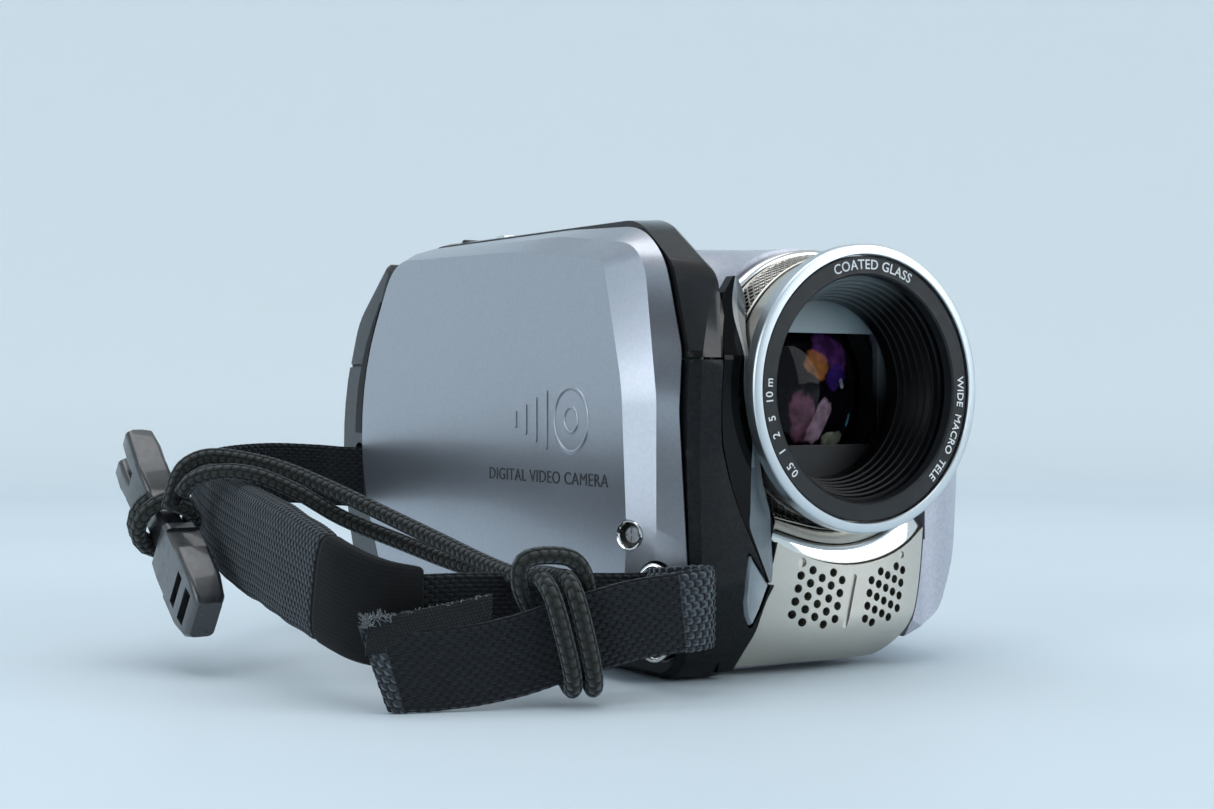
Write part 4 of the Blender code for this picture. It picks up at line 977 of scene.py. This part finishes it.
def ring_text(name, body, size, angle, radius):
    """Lettering that follows the lens ring clockwise around a given angle."""
    def put(co):
        turn = math.radians(angle) - co.x / radius
        reach = radius + co.y
        return around((LENS_X, 0, LENS_Z), reach, turn, RING_FRONT + 0.44 - co.z, "Y")
    flat_text(name, body, size, MARK, put, "name_ring", 0.04)


def lens_rings():
    """Satin front ring, name ring, light trap and baffle."""
    f = RING_FRONT
    profile = [(20.4, f + 0.75), (20.42, f + 0.2), (20.55, f + 0.02), (21.35, f + 0.05), (21.85, f + 0.2),
               (22.0, f + 0.4), (22.05, f + 0.75), (22.05, f + 2.2), (21.9, f + 2.45), (21.5, f + 2.7),
               (20.4, f + 2.7)]
    piece("front_ring", turned(profile), SATIN, "lens_front_ring", angle=28)
    profile = [(17.3, f + 1.3), (17.35, f + 0.75), (17.6, f + 0.45), (17.9, f + 0.5), (20.0, f + 0.5),
               (20.2, f + 0.62), (20.2, f + 2.4), (17.3, f + 2.4)]
    piece("marking_ring", turned(profile), NAME_BLACK, "name_ring", angle=28)
    ring_text("lettering_top", "COATED GLASS", 2.1, 87, TEXT_R)
    ring_text("lettering_left", "0.5   1   2   5   10 m", 1.8, 199, TEXT_R)
    ring_text("lettering_right", "WIDE  MACRO  TELE", 1.8, -21, TEXT_R)
    profile = [(16.9, -52.85), (17.15, -52.6), (16.7, -52.35)]
    for k in range(RIBS):
        y = -51.6 + RIB_PITCH * k
        r = 16.5 - RIB_TAPER * k
        profile += [(r, y), (r - 0.06, y + 0.12), (r - 0.34, y + 0.2), (r - 0.36, y + 0.32),
                    (r - 0.10, y + 0.5)]
    profile += [(13.9, -44.2), (13.9, -43.6), (19.0, -43.6), (19.0, -52.85)]
    piece("light_trap", turned(profile), HOOD_BLACK, "lens_hood_tube", angle=25)
    look = Look("baffle sheet", (0.02, 0.022, 0.024), 0.3)
    x, _, height = look.split(look.where)
    # painted light: a grey glow mixed into the near-black baffle above the lens centre, fading to the right
    # and towards the top
    rise = look.times(look.span(height, (LENS_Z - 2) * MM, (LENS_Z + 6) * MM, 0.0, 1.0),
                      look.span(height, (LENS_Z + 9) * MM, (LENS_Z + 15) * MM, 1.0, 0.35))
    rise = look.times(rise, look.span(x, 0.012, 0.021, 1.0, 0.06))
    look.set(look.shader, {"Base Color": look.mix(rise, (0.003, 0.003, 0.0035), (0.29, 0.36, 0.39)),
                           "Specular IOR Level": 0.3})
    refined("aperture_baffle", look.mat, 0.2)


def knurl():
    """Knurled ring: staggered diamond pits between two plain lands, painted near-black as painted shade."""
    foot, front, length, flare, depth = 20.75, -47.5, 4.4, 0.35, 0.42
    look = Look("knurled champagne", (0.60, 0.57, 0.51), 0.24, 0.92)
    x, y, z = look.split(look.where)
    x, z = look.minus(x, LENS_X * MM), look.minus(z, LENS_Z * MM)
    reach = look.math("SQRT", look.plus(look.times(x, x), look.times(z, z)))
    land = look.plus(look.times(look.minus(y, front * MM), flare / length), foot * MM)
    # painted shade: where the surface sinks below the land the colour goes near-black and loses its metal
    painted_pit_shade = look.span(look.minus(land, reach), 0.06 * MM, 0.16 * MM, 0.0, 0.99)
    look.set(look.shader, {"Base Color": look.mix(painted_pit_shade, (0.60, 0.57, 0.51), (0.008, 0.008, 0.008)),
                           "Metallic": look.span(painted_pit_shade, 0.0, 1.0, 0.92, 0.0)})
    pits, cell, rows = 90, 6, 19
    sections = []
    for k in range(pits * cell):
        angle = 2 * math.pi * k / (pits * cell)
        profile = [(19.4, -47.9), (20.45, -47.9), (20.6, -47.75)]
        for j in range(rows):
            y = front + length * j / (rows - 1)
            r = foot + flare * j / (rows - 1)
            away = min(abs((k - a + cell / 2) % cell - cell / 2) + abs((j - b + cell / 2) % cell - cell / 2)
                       for a, b in ((0, 3), (3, 0)))
            deep = min(1.0, max(0.0, 2.3 - away))
            profile.append((r - (depth * deep if 0 < j < rows - 1 else 0.0), y))
        profile += [(21.15, -42.85), (21.15, -42.5), (19.4, -42.5)]
        sections.append([around((LENS_X, 0, LENS_Z), r, angle, y, "Y") for r, y in profile])
    piece("diamond_ring", loft(sections, closed=True), look.mat, "knurled_band", angle=12)


def barrel():
    """Champagne barrel and the polished ring where it enters the housing."""
    profile = [(19.4, -52.5), (20.0, -52.5), (20.3, -52.35), (20.4, -52.1), (20.6, -48.6), (20.5, -48.2),
               (19.4, -48.2)]
    piece("barrel_band", turned(profile), CHAMPAGNE, "lens_barrel", angle=28)
    profile = [(19.4, -42.1), (21.3, -42.1), (21.75, -41.9), (21.98, -41.45), (22.0, -40.9), (21.85, -40.4),
               (21.5, -40.2), (19.4, -40.2)]
    piece("housing_trim_ring", turned(profile), CHROME, "barrel_trim_ring", angle=40)


def painted_reflection_glass():
    """Dark multi-coated glass with painted reflections: slanted coloured patches on black."""
    look = Look("coated front glass", (0.002, 0.002, 0.003), 0.02, inputs={"Specular IOR Level": 0.09})
    x, _, z = look.split(look.where)
    tone = look.mix(look.noise(260, 2), (0.0012, 0.0012, 0.0018), (0.005, 0.003, 0.006))
    # painted reflections: each patch is mixed into the base colour
    for at, half, turn, colour in PAINTED_REFLECTIONS:
        a = look.minus(x, at[0] * MM)
        b = look.minus(z, at[1] * MM)
        cos, sin = math.cos(math.radians(turn)), math.sin(math.radians(turn))
        along = look.plus(look.times(a, cos), look.times(b, sin))
        across = look.minus(look.times(b, cos), look.times(a, sin))
        along = look.math("ABSOLUTE", look.over(along, half[0] * MM))
        across = look.math("ABSOLUTE", look.over(across, half[1] * MM))
        corner = look.times(look.plus(along, across), 0.62)
        reach = look.math("MAXIMUM", look.math("MAXIMUM", along, across), corner)
        wave = look.times(look.minus(look.noise(500, 2), 0.5), 0.5)
        mask = look.span(look.plus(reach, wave), 0.82, 1.0, 1.0, 0.0)
        fade = look.span(look.noise(420, 2), 0.35, 0.65, 0.35, 1.0)
        tone = look.mix(look.times(mask, fade), tone, colour)
    look.set(look.shader, {"Base Color": tone, "Coat Weight": 0.03, "Coat Roughness": 0.02})
    return look.mat


def lens_glass():
    """Domed front element with coloured reflections painted on it."""
    front, rear = -41.1, -37.5
    reach, rise = 14.2, 4.6
    radius = (reach ** 2 + rise ** 2) / (2 * rise)
    outwards = [reach * k / 20 for k in range(1, 21)]
    dome = [(r, front + radius - math.sqrt(radius ** 2 - r ** 2)) for r in outwards]
    back = [(reach * k / 12, rear + 1.4 * (k / 12) ** 2) for k in range(12, 0, -1)]
    rings = [[around((LENS_X, 0, LENS_Z), r, 2 * math.pi * k / 96, y, "Y") for k in range(96)]
             for r, y in dome + back]
    piece("front_element", loft(rings), painted_reflection_glass(), "front_lens", angle=40)


# ---------------------------------------------------------------- housing and rear

SPEAKER_Y, SPEAKER_Z = 24.0, 14.0
HOUSING_LEFT, HOUSING_RIGHT = -14.8, 24.7
HOUSING_FRONT, HOUSING_REAR = -39.8, 33.5
SHOULDER = 27.8
WALL = 1.7


def housing_outline(kind):
    """Front view of the lens housing at its front and rear end."""
    corners = {
        "front": [(HOUSING_LEFT, 0.0, 2), (HOUSING_RIGHT, 0.0, 12), (HOUSING_RIGHT, 65.6, 19),
                  (HOUSING_LEFT, 65.6, 19)],
        "rear": [(HOUSING_LEFT, 0.0, 2), (HOUSING_RIGHT, 0.0, 3), (HOUSING_RIGHT, 66.4, 10),
                 (HOUSING_LEFT, 66.4, 5)],
    }
    return rounded(corners[kind], 20)


def lens_housing():
    """Lavender shell around the lens block, with the bay behind the screen."""
    def station(y):
        share = min(1.0, max(0.0, (y - HOUSING_FRONT) / SHOULDER))
        share = share * share * (3 - 2 * share)
        return [a.lerp(b, share) for a, b in zip(housing_outline("front"), housing_outline("rear"))]

    levels = [HOUSING_FRONT + SHOULDER * k / 14 for k in range(15)] + [HOUSING_REAR]
    inner = (HOUSING_REAR, HOUSING_FRONT + SHOULDER, HOUSING_FRONT + WALL)
    sections = [[place(p, y, "Y") for p in station(y)] for y in levels]
    sections += [[place(p, y, "Y") for p in inset(station(y), WALL)] for y in inner]
    shell = plain("housing_shell", loft(sections), LAVENDER)
    door_low, door_high = cad("card_door")
    tools = [disc(17.2, (LENS_X, 0, LENS_Z), -45, -35, "Y", 96), disc(6.4, (4.0, -8.0, 0), -3, 4, "Z", 48),
             block((door_low.x - GAP, door_low.y - GAP, -3), (door_high.x + GAP, door_high.y + GAP, 4))]
    for node in ("play_button", "menu_button", "index_button"):
        low, high = cad(node)
        tools.append(disc((high.y - low.y) / 2 + GAP, (low + high) / 2, 20, 28, "X", 40))
    holes = bmesh.new()
    for ring, count in ((0, 1), (1.8, 6), (3.6, 12)):
        for k in range(count):
            angle = 2 * math.pi * k / count
            at = (0, SPEAKER_Y + ring * math.cos(angle), SPEAKER_Z + ring * math.sin(angle))
            add_to(holes, disc(0.5, at, 21, 28, "X", 16))
    carve(shell, *tools, holes)
    settle(shell, "lens_housing", angle=25)


def screen_door():
    """Screen cover whose lower and upper corners follow the rounded housing."""
    door = refined("lcd_cover", LAVENDER, 0.0)
    outline = rounded([(10, 0.8, 1), (DOOR_X, 0.8, 17), (DOOR_X, 63.0, 14), (10, 63.0, 1)], 24)
    carve(door, prism(outline, "Y", -60, 60), operation="INTERSECT")
    bevel(door, 0.45, 25)
    bpy.context.view_layer.update()
    applied(door)
    shade(door, 30)


# CAD nodes whose own shape is kept, by material and edge width
KEPT_SHAPES = (
    (REAR_GREY, 0.5, ("rear_upper_housing",)),
    (REAR_GREY, 0.4, ("rear_lower_housing",)),
    (DARK_GREY, 0.5, ("battery_pack",)),
    (DARK_GREY, 0.3, ("rear_cover",)),
    (DARK_GREY, 0.25, ("jack_cover",)),
    (DARK_GREY, 0.2, ("card_door", "menu_button", "play_button", "index_button")),
    (BLACK, 0.25, ("battery_latch",)),
    (BLACK, 0.2, ("speaker",)),
    (BLACK, 0.15, ("lcd_bezel", "mode_dial")),
    (BLACK, 0.0, ("lens_block",)),
    (GLOSS_BLACK, 0.1, ("zoom_lens_group", "focus_lens_group")),
    (GLOSS_BLACK, 0.05, ("lcd_screen",)),
    (RED, 0.15, ("record_button",)),
    (STEEL, 0.15, ("tripod_bush", "hard_disk_case")),
    (STEEL, 0.1, ("lcd_hinge_pin", "front_strap_bar", "rear_strap_bar", "disk_spindle")),
    (STEEL, 0.05, ("head_arm",)),
    (STEEL, 0.0, ("guide_rod_left", "guide_rod_right")),
    (CHROME, 0.0, ("disk_platter",)),
    (BOARD, 0.0, ("image_sensor", "main_board", "hard_disk_board", "mic_board")),
)
CONTROL_HEIGHT = 0.6


def rear_parts():
    """Screen door, flat top controls and the pieces that keep their CAD shape."""
    screen_door()
    refined("zoom_lever", BLACK, 0.12, height=CONTROL_HEIGHT)
    refined("snapshot_button", CHROME, 0.1, height=CONTROL_HEIGHT)
    for mat, edge, nodes in KEPT_SHAPES:
        for node in nodes:
            refined(node, mat, edge)


# ---------------------------------------------------------------- hand strap

FRONT_BELT = ((-28.3, -48.5, 11.2), (-30.0, -50.6, 11.8), (-29.9, -54.0, 12.3), (-27.9, -57.2, 12.7),
              (-27.0, -60.0, 12.8), (-29.4, -61.9, 12.8), (-33.6, -61.3, 12.4), (-39.4, -59.4, 11.6),
              (-47.0, -56.8, 9.6), (-56.0, -53.5, 6.9), (-64.0, -50.6, 5.8), (-69.5, -48.4, 5.8),
              (-72.4, -46.4, 6.2))
PAD = ((-64.5, -45.0, 12.4), (-68.6, -43.6, 12.6), (-71.4, -38.5, 13.8), (-72.2, -31.0, 15.4),
       (-72.0, -16.0, 18.2), (-70.8, 2.0, 20.4), (-69.0, 18.0, 22.8), (-66.6, 31.0, 25.0),
       (-63.2, 40.0, 26.4))
REAR_BELT = ((-62.6, 40.9, 26.6), (-56.0, 48.4, 27.6), (-46.0, 52.8, 28.0), (-37.0, 52.8, 27.6),
             (-32.6, 50.6, 27.2), (-28.6, 48.6, 27.0))
INNER_BELT = ((-66.0, -43.6, 12.4), (-58.0, -44.2, 12.3), (-50.0, -45.4, 12.0), (-40.0, -46.8, 11.6),
              (-33.0, -47.6, 11.3), (-29.2, -47.4, 11.2))
FLAP = ((-73.6, -46.9, 10.2), (-68.0, -49.2, 11.2), (-62.0, -51.2, 12.3), (-57.8, -52.6, 13.2))
BELT_W = 11.0
BELT_T = 1.3
BELT_POINTS = 96
COARSE_SPAN = (0.31, 0.955)
PAD_SPAN = (0.20, 0.93)
PLAIN_WEAVE = (1.5, 0.62)
COARSE_WEAVE = (1.15, 1.0)
KNIT_WEAVE = (1.05, 0.62)
THREADS, END_THREADS, THREAD_R = 240, 150, 0.055


def strip(route, spacing, size_at, points, power, relief=None, skew=None):
    """Flat band along a route, UV in millimetres; size, relief and skew may vary along it."""
    centre = through(route, spacing)
    us = lengths(centre)
    rings = []
    for k, here in enumerate(centre):
        along = (centre[min(k + 1, len(centre) - 1)] - centre[max(k - 1, 0)]).normalized()
        side = along.cross(UP).normalized()
        up = side.cross(along).normalized()
        height, thick = size_at(k / (len(centre) - 1))
        flat = []
        for j in range(points):
            angle = 2 * math.pi * j / points
            ca, sa = math.cos(angle), math.sin(angle)
            flat.append(Vector((math.copysign(abs(ca) ** (2 / power), ca) * height / 2,
                                math.copysign(abs(sa) ** (2 / power), sa) * thick / 2)))
        flat = even(flat, points)
        if k == 0:
            vs = lengths(flat + flat[:1])
        ring = []
        for j, p in enumerate(flat):
            outward = (up * p.x / height + side * p.y / thick).normalized()
            push = relief(us[k], vs[j], k / (len(centre) - 1)) if relief else 0.0
            lean = skew(k / (len(centre) - 1)) if skew else 0.0
            ring.append(here + up * p.x + side * p.y + outward * push + along * lean * p.x)
        rings.append(ring)
    return loft(rings, uv=(us, vs)), len(centre) - 1


def tube(points, radius, sides):
    """Round cord through close points, UV in millimetres."""
    rings = []
    vs = [2 * math.pi * radius * j / sides for j in range(sides + 1)]
    across = None
    for k, here in enumerate(points):
        along = (points[min(k + 1, len(points) - 1)] - points[max(k - 1, 0)]).normalized()
        across = (across or UP.cross(along)) - along * along.dot(across or UP.cross(along))
        across.normalize()
        up = along.cross(across)
        ring = []
        for j in range(sides):
            angle = 2 * math.pi * j / sides
            ring.append(here + (across * math.cos(angle) + up * math.sin(angle)) * radius)
        rings.append(ring)
    return loft(rings, uv=(lengths(points), vs))


def zoned(obj, points, rings, mat, zone):
    """Second material on the rings where zone(share) is true."""
    obj.data.materials.append(mat)
    for polygon in obj.data.polygons:
        polygon.material_index = int(zone((polygon.index // points) / rings))


def bumps(u, v, pitch, height):
    """Staggered rounded bumps of a coarse weave."""
    row = math.floor(v / pitch[1])
    a = 2 * ((u / pitch[0] + 0.5 * (row % 2)) % 1.0) - 1
    b = 2 * ((v / pitch[1]) % 1.0) - 1
    return height * (1 - a * a) * (1 - b * b)


def belts():
    """Webbing in front of and behind the pad, its inner leg, tape flap and frayed end."""
    def size(_):
        return BELT_W, BELT_T

    def coarse(share):
        return not COARSE_SPAN[0] <= share <= COARSE_SPAN[1]

    def front_relief(u, v, share):
        wave = 0.10 * noise.noise(Vector((u * 0.25, v * 0.3, 1.7)))
        return wave + (bumps(u, v, COARSE_WEAVE, 0.32) if coarse(share) else bumps(u, v, PLAIN_WEAVE, 0.05))

    def front_lean(share):
        return 0.5 * max(0.0, (share - 0.8) / 0.2)

    def plain_relief(u, v, share):
        return bumps(u, v, PLAIN_WEAVE, 0.07)

    def flap_relief(u, v, share):
        return 0.12 * noise.noise(Vector((u * 0.5, v * 0.5, 8.3)))

    bm, rings = strip(FRONT_BELT, 0.3, size, BELT_POINTS, 7, front_relief, front_lean)
    front = plain("front_webbing", bm, WEBBING)
    zoned(front, BELT_POINTS, rings, COARSE, coarse)
    settle(front, "grip_belt_front", angle=60)
    bm, rings = strip(REAR_BELT, 0.3, size, BELT_POINTS, 7, plain_relief)
    settle(plain("rear_webbing", bm, WEBBING), "grip_belt_rear", angle=60)
    bm, rings = strip(INNER_BELT, 0.5, size, BELT_POINTS, 7, plain_relief)
    settle(plain("inner_webbing", bm, WEBBING), "grip_belt_front", False, angle=60)
    bm, rings = strip(FLAP, 0.3, lambda s: (4.8, 0.9), 64, 6, flap_relief, lambda s: 0.25)
    settle(plain("tape_flap", bm, HOOKS), "grip_belt_front", False, angle=60)
    fibres()


def fibres():
    """Pale loose threads at the cut end and along the top edge of the tape flap."""
    dice = random.Random(7)
    line = through(FLAP, 0.25)
    whole = bmesh.new()
    for k in range(THREADS):
        near_end = k < END_THREADS
        share = 0.22 * dice.random() ** 2 if near_end else dice.random()
        at = line[int(share * (len(line) - 1))]
        up = 1.2 + 1.2 * dice.random() if near_end else 2.3
        here = at + Vector((0, dice.uniform(-0.5, 0.5), up))
        lean = Vector((dice.uniform(-1.2, 0.3), dice.uniform(-0.8, 0.8), dice.uniform(0.1, 1.0)))
        length = dice.uniform(0.5, 1.7) if near_end else dice.uniform(0.2, 0.5)
        steps = [here + lean.normalized() * length * t + Vector((0.1, 0.1, 0.0)) * math.sin(5 * t + k)
                 for t in (0, 0.25, 0.5, 0.75, 1.0)]
        add_to(whole, tube(steps, THREAD_R, 5))
    settle(plain("frayed_threads", whole, FRAY), "grip_belt_front", False, angle=60)


def pad():
    """Padded sleeve of knitted mesh with bound ends."""
    def size(share):
        fullness = max(0.0, math.sin(math.pi * share)) ** 0.4
        return BELT_W + 1.6 + 3.8 * fullness, 2.4 + 2.6 * fullness

    def bound(share):
        return not PAD_SPAN[0] < share < PAD_SPAN[1]

    def relief(u, v, share):
        wrinkle = 0.25 * noise.noise(Vector((u * 0.16, v * 0.07, 3.1)))
        knit = 0.0 if bound(share) else bumps(u, v, KNIT_WEAVE, 0.10)
        seam = sum(math.exp(-((share - s) / 0.006) ** 2) for s in PAD_SPAN)
        return wrinkle + knit - 0.35 * seam

    points = 128
    bm, rings = strip(PAD, 0.35, size, points, 3.2, relief)
    obj = plain("padded_sleeve", bm, KNIT)
    zoned(obj, points, rings, SUEDE, bound)
    settle(obj, "grip_pad", angle=60)


# ---------------------------------------------------------------- wrist cord

BUCKLE_TOP = Vector((-79.7, 29.0, 33.4))
BUCKLE_END = Vector((-79.3, -3.0, 8.6))
CORD = ((-78.9, 11.0, 29.1), (-77.4, 10.6, 31.4), (-74.2, 9.6, 32.8), (-69.6, 7.0, 32.4),
        (-64.4, 2.4, 30.8), (-59.6, -5.4, 27.8), (-55.2, -17.5, 23.8), (-52.6, -28.6, 20.8),
        (-51.4, -38.5, 18.6), (-50.8, -46.5, 17.4))
CORD_BACK = ((-47.0, -47.2, 17.3), (-47.2, -38.5, 16.2), (-49.6, -28.1, 17.4), (-53.2, -16.9, 20.0),
             (-58.6, -6.9, 23.4), (-64.2, -2.4, 27.4), (-69.6, 0.6, 30.0), (-74.0, 3.6, 30.6),
             (-77.6, 6.6, 29.4), (-78.9, 8.4, 27.1))
NECK_TURNS, NECK_STEPS = 2.0, 32
NECK_HALF = (5.0, 4.35)
HITCH = Vector((-44.6, -57.3, 10.0))
HITCH_ALONG = Vector((-0.957, 0.290, 0.0))
HITCH_OUT = Vector((-0.290, -0.957, 0.0))
HITCH_HALF = ((1.7, -4.0, 7.3), (1.7, 0.2, 7.2), (1.6, 2.9, 4.4), (1.5, 2.9, -4.2), (1.5, 0.0, -7.6),
              (2.0, -2.9, -4.0), (3.6, -3.4, 2.2), (4.7, -2.0, 6.8), (3.0, -1.4, 10.2))


def hitch_point(side, s, n, z):
    """Point of the hitch round the belt, leaning along it with height."""
    return HITCH + HITCH_ALONG * (side * s + 1.6 + 0.25 * (z + 7)) + HITCH_OUT * n + UP * z


def buckle_axes():
    """Directions along, across and out of the buckle."""
    along = (BUCKLE_END - BUCKLE_TOP).normalized()
    across = along.cross(Vector((1, 0, 0))).normalized()
    return along, across, across.cross(along).normalized()


def wrist_cord():
    """One braided cord: from the buckle, hitched round the belt, back, and round the buckle's neck."""
    first = [hitch_point(1, *p) for p in HITCH_HALF]
    second = [hitch_point(-1, *p) for p in HITCH_HALF]
    route = [Vector(p) for p in CORD_BACK[::-1]] + second + first[::-1] + [Vector(p) for p in CORD[::-1]]
    along, across, side = buckle_axes()
    turns = []
    for k in range(1, NECK_STEPS + 1):
        angle = math.radians(-35) + 2 * math.pi * NECK_TURNS * k / NECK_STEPS
        here = BUCKLE_TOP + along * (20.3 - 3.7 * k / NECK_STEPS)
        turns.append(here + across * NECK_HALF[0] * math.cos(angle) + side * NECK_HALF[1] * math.sin(angle))
    points = through(route, 0.8) + turns
    cord = plain("braided_cord", tube(points, CORD_D / 2, 20), BRAID)
    settle(cord, ("wrist_cord", "cord_coil"), body="camera_body", angle=70)
    return cord, points


def buckle():
    """Two halves of the small side-release buckle."""
    along, across, side = buckle_axes()

    def solid(spans, thick):
        rings = []
        for distance, width, scale, shift in spans:
            here = BUCKLE_TOP + along * distance + across * shift
            corner = rounded([(a * width / 2, b * thick * scale / 2, 0.9)
                              for a, b in ((-1, -1), (1, -1), (1, 1), (-1, 1))], 5)
            rings.append([here + across * p.x + side * p.y for p in corner])
        return loft(rings)

    prongs = [solid(((0.0, 2.6, 0.62, s * 3.0), (0.9, 3.6, 0.9, s * 3.0), (4.5, 3.9, 1.0, s * 2.9),
                     (9.0, 3.4, 1.0, s * 2.5), (12.0, 3.0, 0.8, s * 1.9)), 5.2) for s in (-1, 1)]
    body = solid(((8.0, 8.6, 1.0, 0), (10.5, 8.2, 1.0, 0), (13.4, 6.4, 0.8, 0), (14.6, 5.6, 0.7, 0),
                  (22.0, 5.6, 0.7, 0)), 5.4)
    socket = plain("buckle_upper", body, BUCKLE_GREY)
    carve(socket, *prongs, operation="UNION")
    bevel(socket, 0.25, 35)
    settle(socket, "buckle_socket", angle=40)
    lower = solid(((22.4, 6.0, 0.75, 0), (23.4, 9.0, 1.0, 0), (28.0, 11.0, 1.0, 0), (36.0, 10.6, 1.0, 0),
                   (39.6, 8.6, 0.9, 0), (40.6, 7.0, 0.7, 0)), 5.4)
    plug = plain("buckle_lower", lower, BUCKLE_GREY)

    def slot_at(distance, long, wide, shift=0.0):
        rings = []
        for depth in (-6, 6):
            here = BUCKLE_TOP + along * distance + across * shift + side * depth
            rings.append([here + along * a * long / 2 + across * b * wide / 2
                          for a, b in ((-1, -1), (1, -1), (1, 1), (-1, 1))])
        return loft(rings)

    carve(plug, slot_at(37.4, 2.0, 6.2), slot_at(33.6, 1.8, 6.2), slot_at(27.5, 5.0, 1.2, 4.9),
          slot_at(27.5, 5.0, 1.2, -4.9))
    bevel(plug, 0.25, 35)
    settle(plug, "buckle_plug", angle=40)
    return socket, plug


# ---------------------------------------------------------------- build

grip_cover()
eyelet_rim()
dark_band()
seam_liner()
windows()
microphone_panel()
crescent()
corner_cover()
lens_rings()
knurl()
barrel()
lens_glass()
lens_housing()
rear_parts()
belts()
pad()
cord, cord_points = wrist_cord()
socket, plug = buckle()
cord_length = lengths(cord_points)[-1] * MM


# ---------------------------------------------------------------- stage, light and camera

def stage():
    """Pale round sweep: a flat floor that curves up on all sides, darker behind the camera."""
    look = Look("pale table", (0.80, 0.86, 0.90), 0.55)
    cloud = look.span(look.noise(6, 4), 0.35, 0.7, 0.0, 1.0)
    tone = look.mix(cloud, (0.70, 0.79, 0.85), (0.67, 0.765, 0.825))
    x, y, z = look.split(look.where)
    reach = look.math("SQRT", look.plus(look.times(x, x), look.times(y, y)))
    behind = look.plus(look.times(x, -0.54), look.times(y, -0.84))
    towards = look.over(behind, look.plus(reach, 0.01))
    shade_side = look.times(look.span(towards, 0.80, 0.97, 0.0, 1.0), look.span(reach, 0.45, 0.8, 0.0, 1.0))
    tone = look.mix(look.span(reach, 0.5, 0.9, 0.0, 1.0), tone, (0.86, 0.93, 0.965))
    look.set(look.shader, {"Base Color": look.mix(shade_side, tone, (0.05, 0.05, 0.052))})
    level, flat, curve_r, top = -0.02, 700.0, 500.0, 1500.0
    profile = [(150, level), (400, level), (flat, level)]
    for k in range(1, 13):
        angle = math.pi / 2 * k / 12
        profile.append((flat + curve_r * math.sin(angle), curve_r * (1 - math.cos(angle)) + level))
    profile.append((flat + curve_r, top))
    bm = bmesh.new()
    rings = [[bm.verts.new(around((0, 0, 0), r, 2 * math.pi * k / 96, z, "Z")) for k in range(96)]
             for r, z in profile]
    for low, high in zip(rings, rings[1:]):
        for k in range(96):
            j = (k + 1) % 96
            bm.faces.new((low[k], low[j], high[j], high[k]))
    bm.faces.new(rings[0])
    sweep = plain("pale_sweep", bm, look.mat)
    shade(sweep, 60)


def area_light(name, size, power, at, colour, towards=(0, 0, 30)):
    lamp = bpy.data.lights.new(name, "AREA")
    lamp.shape = "RECTANGLE"
    lamp.size, lamp.size_y = size[0] * MM, size[1] * MM
    lamp.energy = power
    lamp.color = colour
    obj = bpy.data.objects.new(name, lamp)
    obj.location = Vector(at) * MM
    obj.rotation_euler = (Vector(towards) - Vector(at)).to_track_quat("-Z", "Y").to_euler()
    bpy.context.scene.collection.objects.link(obj)
    return obj


def light():
    """Pale room light and three soft boxes."""
    world = bpy.data.worlds.new("pale room")
    world.use_nodes = True
    world.node_tree.nodes["Background"].inputs[0].default_value = (0.87, 0.93, 0.98, 1)
    world.node_tree.nodes["Background"].inputs[1].default_value = 0.66
    bpy.context.scene.world = world
    area_light("top_softbox", (800, 800), 3.6, (-60, 60, 950), (0.97, 0.985, 1.0))
    area_light("left_softbox", (420, 500), 1.8, (-800, -240, 330), (0.90, 0.955, 1.0))
    area_light("right_softbox", (420, 500), 1.7, (520, -620, 330), (0.98, 0.985, 1.0))


CAMERA_AT = (-0.18315, -0.27659, 0.04275)
CAMERA_TILT, CAMERA_TURN = -0.006, -0.571
CAMERA_LENS = 56.34


def camera():
    """Long lens at lens height, a third of a right angle round from the front."""
    data = bpy.data.cameras.new("view")
    data.sensor_width = 36.0
    data.lens = CAMERA_LENS
    data.clip_start, data.clip_end = 0.01, 10
    obj = bpy.data.objects.new("view", data)
    obj.location = CAMERA_AT
    obj.rotation_euler = (math.pi / 2 + CAMERA_TILT, 0, CAMERA_TURN)
    bpy.context.scene.collection.objects.link(obj)
    bpy.context.scene.camera = obj


stage()
light()
camera()
bpy.context.scene.view_settings.view_transform = "Standard"
